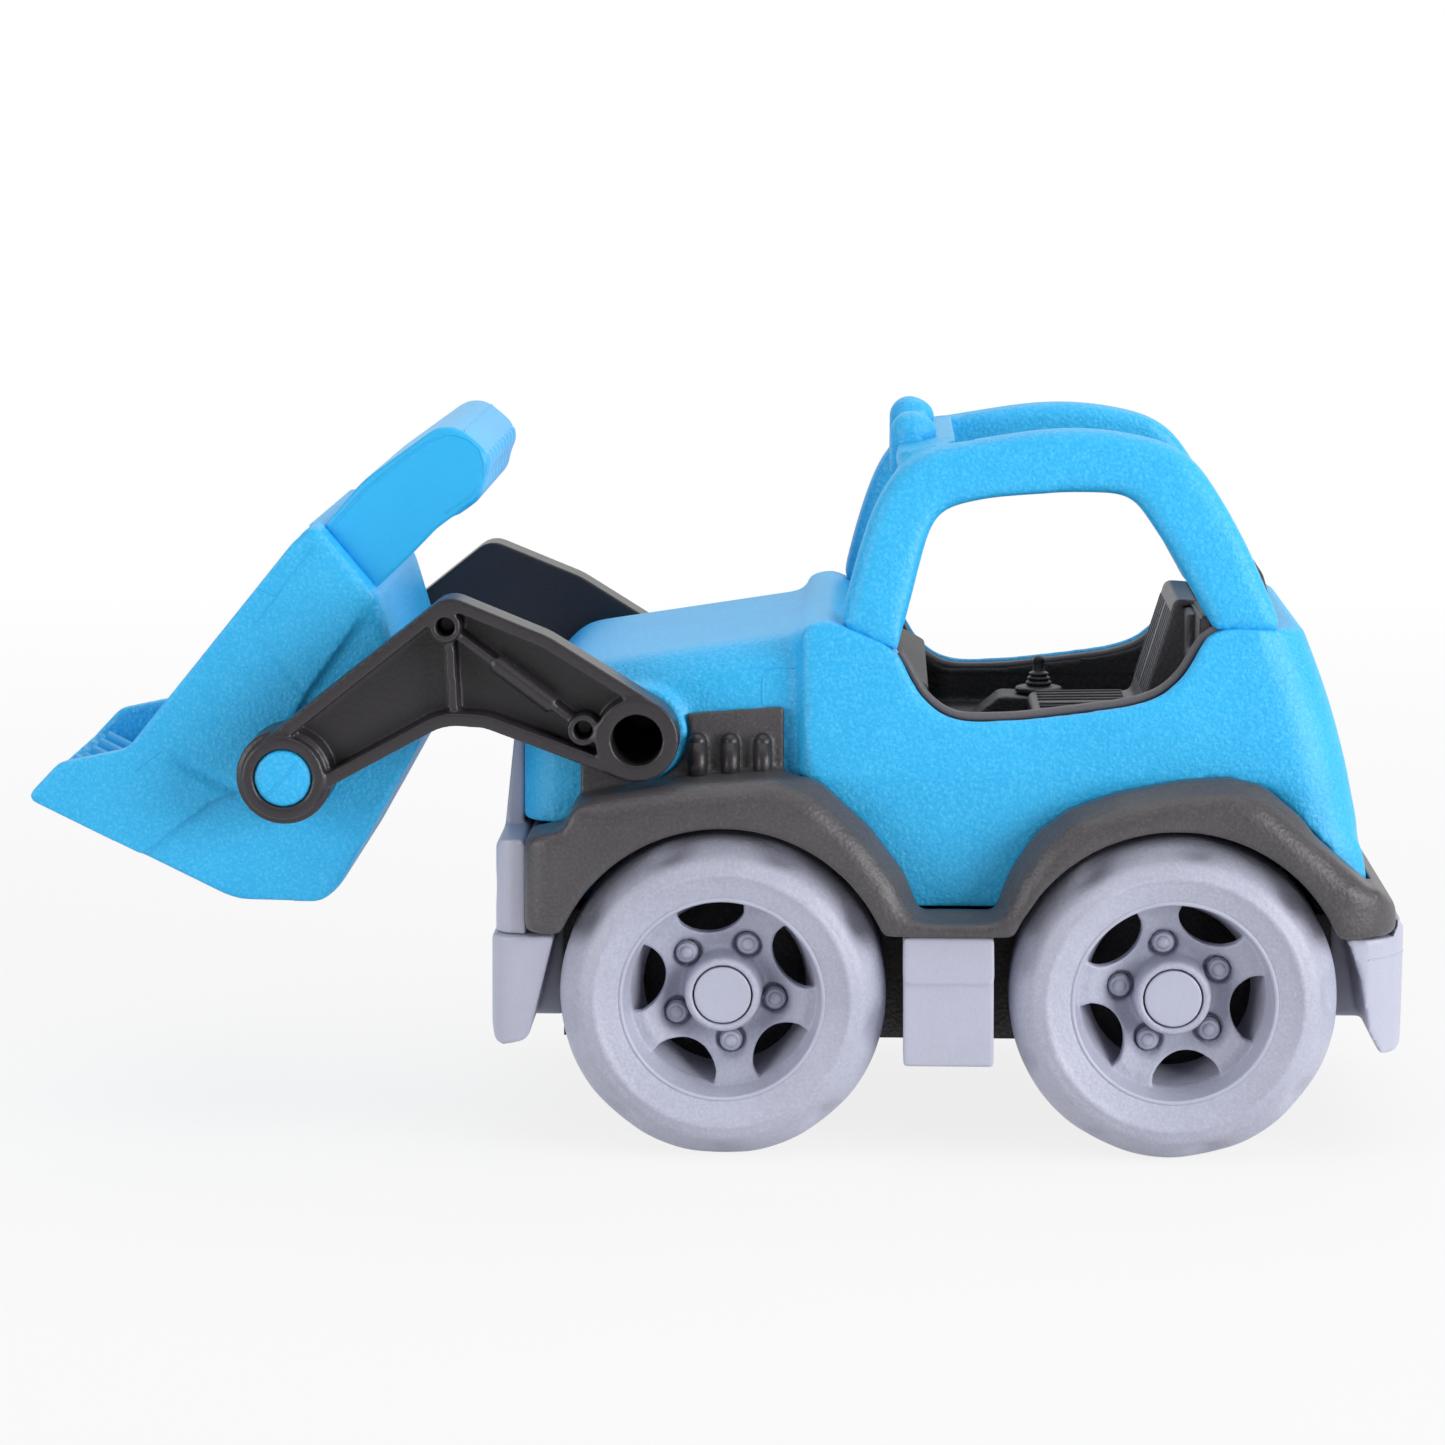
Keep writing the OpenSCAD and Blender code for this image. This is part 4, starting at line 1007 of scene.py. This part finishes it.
def bumper_seam():
    """A seam across each end of the rear bumper."""
    tree = surface_of(bumper)
    for side, hand in HANDS:
        line = laid_on(tree, [(83.6, RIM_Z - 5.2), (91.4, RIM_Z - 4.8)], side, 0.04, 0.4)
        bead_piece([line], "bumper_seam_" + hand, "vehicle", GREY_SMOOTH, 0.2)


def handle_trim():
    """A raised line round each end of the handle and a mould line over the grip."""
    tree = surface_of(handle)
    rim = [
        (8.3, 48.8), (15.0, 56.0), (22.5, 62.0), (27.8, 65.6), (30.8, 66.9), (33.1, 66.9),
        (35.7, 65.9), (37.9, 63.9), (38.8, 61.0), (38.5, 57.6), (36.4, 54.9), (31.0, 51.2),
    ]
    lines = [laid_on(tree, from_trunnion(rim), side, 0.05, 0.5) for side in (-1, 1)]
    over = []
    for k in range(25):
        y = -34.0 + 68.0 * k / 24
        hit = tree.ray_cast(at(34.6 + TRUNNION[0], y, 170.0), Vector((0.0, 0.0, -1.0)))[0]
        over.append((hit.x / MM - WHEELBASE_MID, y, hit.z / MM - 0.05))
    bead_piece(lines + [over], "handle_mould_lines", "bucket", BLUE_SMOOTH, 0.24)


def rib_form():
    """Upright round-topped ribs in a row."""
    f = Form("panel_ribs", Count=3, Spacing=0.0065, Rib_radius=0.0017, Rib_height=0.012)
    row = f.node(
        "GeometryNodeMeshLine",
        Count=f.size("Count"),
        Offset=f.node("ShaderNodeCombineXYZ", X=f.size("Spacing")),
    )
    r, h = f.size("Rib radius"), f.size("Rib height")
    post = f.node("GeometryNodeMeshCone", "Mesh", Vertices=28, Radius_Bottom=r, Radius_Top=r * 0.94, Depth=h)
    cap = f.node("GeometryNodeMeshUVSphere", "Mesh", Segments=28, Rings=14, Radius=r * 0.94)
    cap = f.node("GeometryNodeTransform", Geometry=cap, Translation=f.node("ShaderNodeCombineXYZ", Z=h))
    rib = f.node("GeometryNodeJoinGeometry", Geometry=[post, cap])
    return f.end(f.node("GeometryNodeInstanceOnPoints", Points=row, Instance=rib))


def panel_ribs():
    """Three ribs on each engine side panel."""
    ribs = rib_form().make(bpy.data.meshes.new("rib_base"), CHARCOAL, Rib_height=0.0095, Rib_radius=0.0020)
    stretch = Matrix.Scale(1.15, 4, Vector((0.0, 1.0, 0.0)))
    for side, hand in HANDS:
        mesh = ribs.copy()
        mesh.transform(Matrix.Translation(at(-50.3, side * 46.9, 73.2)) @ stretch)
        add_piece(mesh, "panel_ribs_" + hand, "vehicle", CHARCOAL_SMOOTH)


def seat_flutes():
    """Raised flutes up the cushion and the back of the seat."""
    lines = []
    for y in (-15.0, -11.0, -7.0, -3.0, 3.0, 7.0, 11.0, 15.0):
        lines.append([(19.5, y, 84.5), (28.0, y, 84.65), (37.6, y, 84.8)])
        lines.append([(40.6, y, 88.4), (43.2, y, 97.0), (45.9, y, 105.8)])
    bead_piece(lines, "seat_flutes", "vehicle", CHARCOAL, 0.34)


def lathe(profile, sides=48):
    """A turned mesh from (radius, height) pairs, closed at both ends."""
    verts, faces = [], []
    for r, z in profile:
        verts += [(r * math.cos(t), r * math.sin(t), z) for t in np.arange(sides) * 2 * math.pi / sides]
    for i in range(len(profile) - 1):
        for k in range(sides):
            a, b = i * sides + k, i * sides + (k + 1) % sides
            faces.append((a, b, b + sides, a + sides))
    faces.append(tuple(reversed(range(sides))))
    faces.append(tuple(range(len(verts) - sides, len(verts))))
    mesh = bpy.data.meshes.new("turned")
    mesh.from_pydata([Vector(v) * MM for v in verts], [], faces)
    for p in mesh.polygons:
        p.use_smooth = len(p.vertices) == 4
    return mesh


def control_lever():
    """The lever: a flanged foot, bellows in rolls, and a round-headed stick."""
    profile = [(1.5, 76.6), (1.5, 83.1)]
    profile += [(4.7, 83.1), (5.05, 83.3), (5.1, 83.8), (4.9, 84.2), (4.3, 84.4), (3.2, 84.45)]
    z = 84.5
    for r, h in ((2.85, 1.1), (2.5, 1.0), (2.15, 0.9)):
        for t in np.linspace(-1.0, 1.0, 9):
            profile.append((r - 0.5 * t * t, z + h * (t + 1.0) / 2))
        z += h
    profile += [(1.45, z + 0.05), (1.25, z + 0.3), (1.2, 89.4)]
    for t in np.linspace(0.0, 1.0, 9)[:-1]:
        profile.append((0.05 + 1.2 * math.cos(t * math.pi / 2), 89.9 + 1.15 * math.sin(t * math.pi / 2)))
    mesh = lathe(profile)
    mesh.transform(Matrix.Translation(at(20.4, 25.0, 0.0)))
    stand_for(mesh, "control_lever", CAB_DARK)


def tub_rim():
    """The tub's rolled rim round each window sill; it stands higher on the left."""
    lines = []
    way = np.gradient(SILL_SOFT, axis=0)
    way /= np.linalg.norm(way, axis=1)[:, None]
    into = np.column_stack([way[:, 1], -way[:, 0]])
    for side, lift in ((-1, 0.35), (1, -1.7)):
        line = (SILL_SOFT + into * lift)[34:-32]
        lines.append([(x, side * (cab_half(z) - 3.55), z) for x, z in line])
    bead_piece(lines, "tub_rim", "vehicle", RIM, 1.0)


def block(low, high):
    """A plain box between two corners, in millimetres, as a mesh."""
    mesh = bpy.data.meshes.new("block")
    bm = bmesh.new()
    bmesh.ops.create_cube(bm, size=1.0)
    size, mid = (np.array(high) - low) * MM, at(*((np.array(high) + low) / 2))
    for v in bm.verts:
        v.co = mid + Vector(size) * v.co
    bmesh.ops.bevel(bm, geom=bm.edges[:], offset=0.0005, segments=3, affect="EDGES")
    bm.to_mesh(mesh)
    bm.free()
    return mesh


def bulkhead_ends():
    """The ends of the rear bulkhead beside the seat; the left one shows higher."""
    for side, hand, top in ((-1, "left", 108.0), (1, "right", 102.6)):
        ends = sorted((side * 16.5, side * 42.4))
        wing = block((49.9, ends[0], 87.0), (52.4, ends[1], top))
        add_piece(wing, "bulkhead_end_" + hand, "vehicle", CAB_DARK)


def roof_lamps():
    """Two drop-shaped lamps: a round front that runs down the bar, and a tail that tapers to the rear."""
    dome = [(4.2 * math.cos(t), 142.9 + 4.2 * math.sin(t)) for t in np.linspace(0.0, 1.55, 14)]
    post = [(3.9, 134.6), (4.2, 135.0)] + dome
    tail = [(4.2 * math.sqrt(1.0 - t ** 1.7), 5.2 * t) for t in np.linspace(0.0, 0.995, 18)]
    for side, hand in HANDS:
        front, rear = lathe(post), lathe(tail)
        front.transform(Matrix.Translation(at(-7.9, side * 20.0, 0.0)))
        rear.transform(Matrix.Translation(at(-7.9, side * 20.0, 142.9)) @ Matrix.Rotation(math.radians(90.0), 4, "Y"))
        add_piece(joined([front, rear]), "roof_lamp_" + hand, "vehicle", BLUE)


def lip_ridges():
    """Round ridges along the lip of the bucket."""
    tree = surface_of(bucket)
    lines = []
    for y in np.arange(-30.0, 31.0, 10.0):
        line = []
        for x in np.linspace(-50.0, -35.0, 14):
            hit = tree.ray_cast(at(x + TRUNNION[0], y, 130.0), Vector((0.0, 0.0, -1.0)))[0]
            if hit is not None:
                line.append((x + TRUNNION[0], y, hit.z / MM - 0.5))
        lines.append(line)
    bead_piece(lines, "lip_ridges", "bucket", BLUE_SMOOTH, 1.9)


def window_shade_plates():
    """Dark plates on the chassis behind the wheels, seen through the spoke windows: dark sheets put there as painted
    shade for the wheels' hollow insides.
    """
    for word, x in (("front", -AXLE_X), ("rear", AXLE_X)):
        for side, hand in HANDS:
            mesh = lathe([(0.5, 33.0), (20.5, 33.0), (21.0, 33.4), (21.0, 34.6), (20.5, 35.0), (0.5, 35.0)])
            mesh.transform(Matrix.Translation(at(x, 0.0, AXLE_Z)) @ Matrix.Rotation(math.radians(-90.0 * side), 4, "X"))
            add_piece(mesh, "window_shade_plate_" + word + "_" + hand, "vehicle", CAB_DARK)


mould_lines()
bumper_seam()
tub_rim()
bulkhead_ends()
roof_lamps()
lip_ridges()
window_shade_plates()
handle_trim()
panel_ribs()
seat_flutes()
control_lever()


# Studio


def studio():
    """A white sweep that keeps the shadow, an even sky and four soft lamps; places here are in metres."""
    s = Shade("studio_floor")
    tone = s.noise(3.0, 2.0)
    s.set(Base_Color=s.mix(tone, (0.68, 0.68, 0.68, 1), (0.72, 0.72, 0.72, 1)), Roughness=0.9)
    camera, glossy, through = (
        s.node("ShaderNodeLightPath", ray) for ray in ("Is Camera Ray", "Is Glossy Ray", "Is Transmission Ray")
    )
    seen = camera.larger(glossy).larger(through)
    white = s.node("ShaderNodeEmission", Color=(1.0, 1.0, 1.0, 1.0), Strength=1.0)
    away = s.node("ShaderNodeSeparateXYZ", "Y", Vector=s.place).step(0.25, 0.9)
    mixed = s.node("ShaderNodeMixShader", Fac=seen * (away * 0.17 + 0.83))
    n = mixed.socket.node
    s.tree.links.new(s.surface.outputs[0], n.inputs[1])
    s.tree.links.new(white.socket, n.inputs[2])
    s.tree.links.new(mixed.socket, s.out.inputs["Surface"])
    profile = [(-1.6, 0.0), (0.9, 0.0)]
    profile += [(0.9 + 0.6 * math.sin(a), 0.6 - 0.6 * math.cos(a)) for a in np.linspace(0.1, math.pi / 2, 12)]
    profile += [(1.5, 2.6)]
    verts = [(x, y, z) for y, z in profile for x in (-3.0, 3.0)]
    faces = [(2 * i, 2 * i + 1, 2 * i + 3, 2 * i + 2) for i in range(len(profile) - 1)]
    mesh = bpy.data.meshes.new("studio_sweep")
    mesh.from_pydata(verts, [], faces)
    for p in mesh.polygons:
        p.use_smooth = True
    show(mesh, "studio_sweep", s.mat)
    world = bpy.data.worlds.new("studio")
    bpy.context.scene.world = world
    world.use_nodes = True
    bg = world.node_tree.nodes["Background"]
    bg.inputs["Color"].default_value = (1.0, 1.0, 1.0, 1.0)
    bg.inputs["Strength"].default_value = 0.22
    for name, place, size, power in (
        ("over", (0.0, -0.2, 1.3), (1.4, 1.0), 6.0),
        ("left", (-1.1, -0.75, 0.32), (0.9, 0.7), 8.0),
        ("right", (1.1, -0.7, 0.38), (0.9, 0.7), 15.5),
        ("back", (0.1, 0.75, 1.1), (1.6, 0.6), 5.0),
    ):
        lamp = bpy.data.lights.new(name, "AREA")
        lamp.shape = "RECTANGLE"
        lamp.size, lamp.size_y = size
        lamp.energy = power
        o = bpy.data.objects.new(name, lamp)
        o.location = place
        o.rotation_euler = (Vector((0.0, 0.0, 0.07)) - Vector(place)).to_track_quat("-Z", "Y").to_euler()
        bpy.context.scene.collection.objects.link(o)


def photo_camera():
    """The photo's point of view: a little to the right of square on, from above."""
    yaw, pitch, roll = (math.radians(d) for d in (1.854, 8.427, 0.104))
    look = Vector((-math.sin(yaw) * math.cos(pitch), math.cos(yaw) * math.cos(pitch), -math.sin(pitch)))
    right = Vector((math.cos(yaw), math.sin(yaw), 0.0))
    up = right.cross(look)
    right, up = right * math.cos(roll) + up * math.sin(roll), up * math.cos(roll) - right * math.sin(roll)
    data = bpy.data.cameras.new("photo_camera")
    data.sensor_width = 36.0
    data.lens = 113.73
    data.clip_end = 20.0
    cam = bpy.data.objects.new("photo_camera", data)
    turn = Matrix((right, up, -look)).transposed()
    cam.matrix_world = Matrix.Translation(at(-16.13, -950.94, 220.60)) @ turn.to_4x4()
    bpy.context.scene.collection.objects.link(cam)
    bpy.context.scene.camera = cam


studio()
photo_camera()
bpy.context.scene.view_settings.view_transform = "Standard"
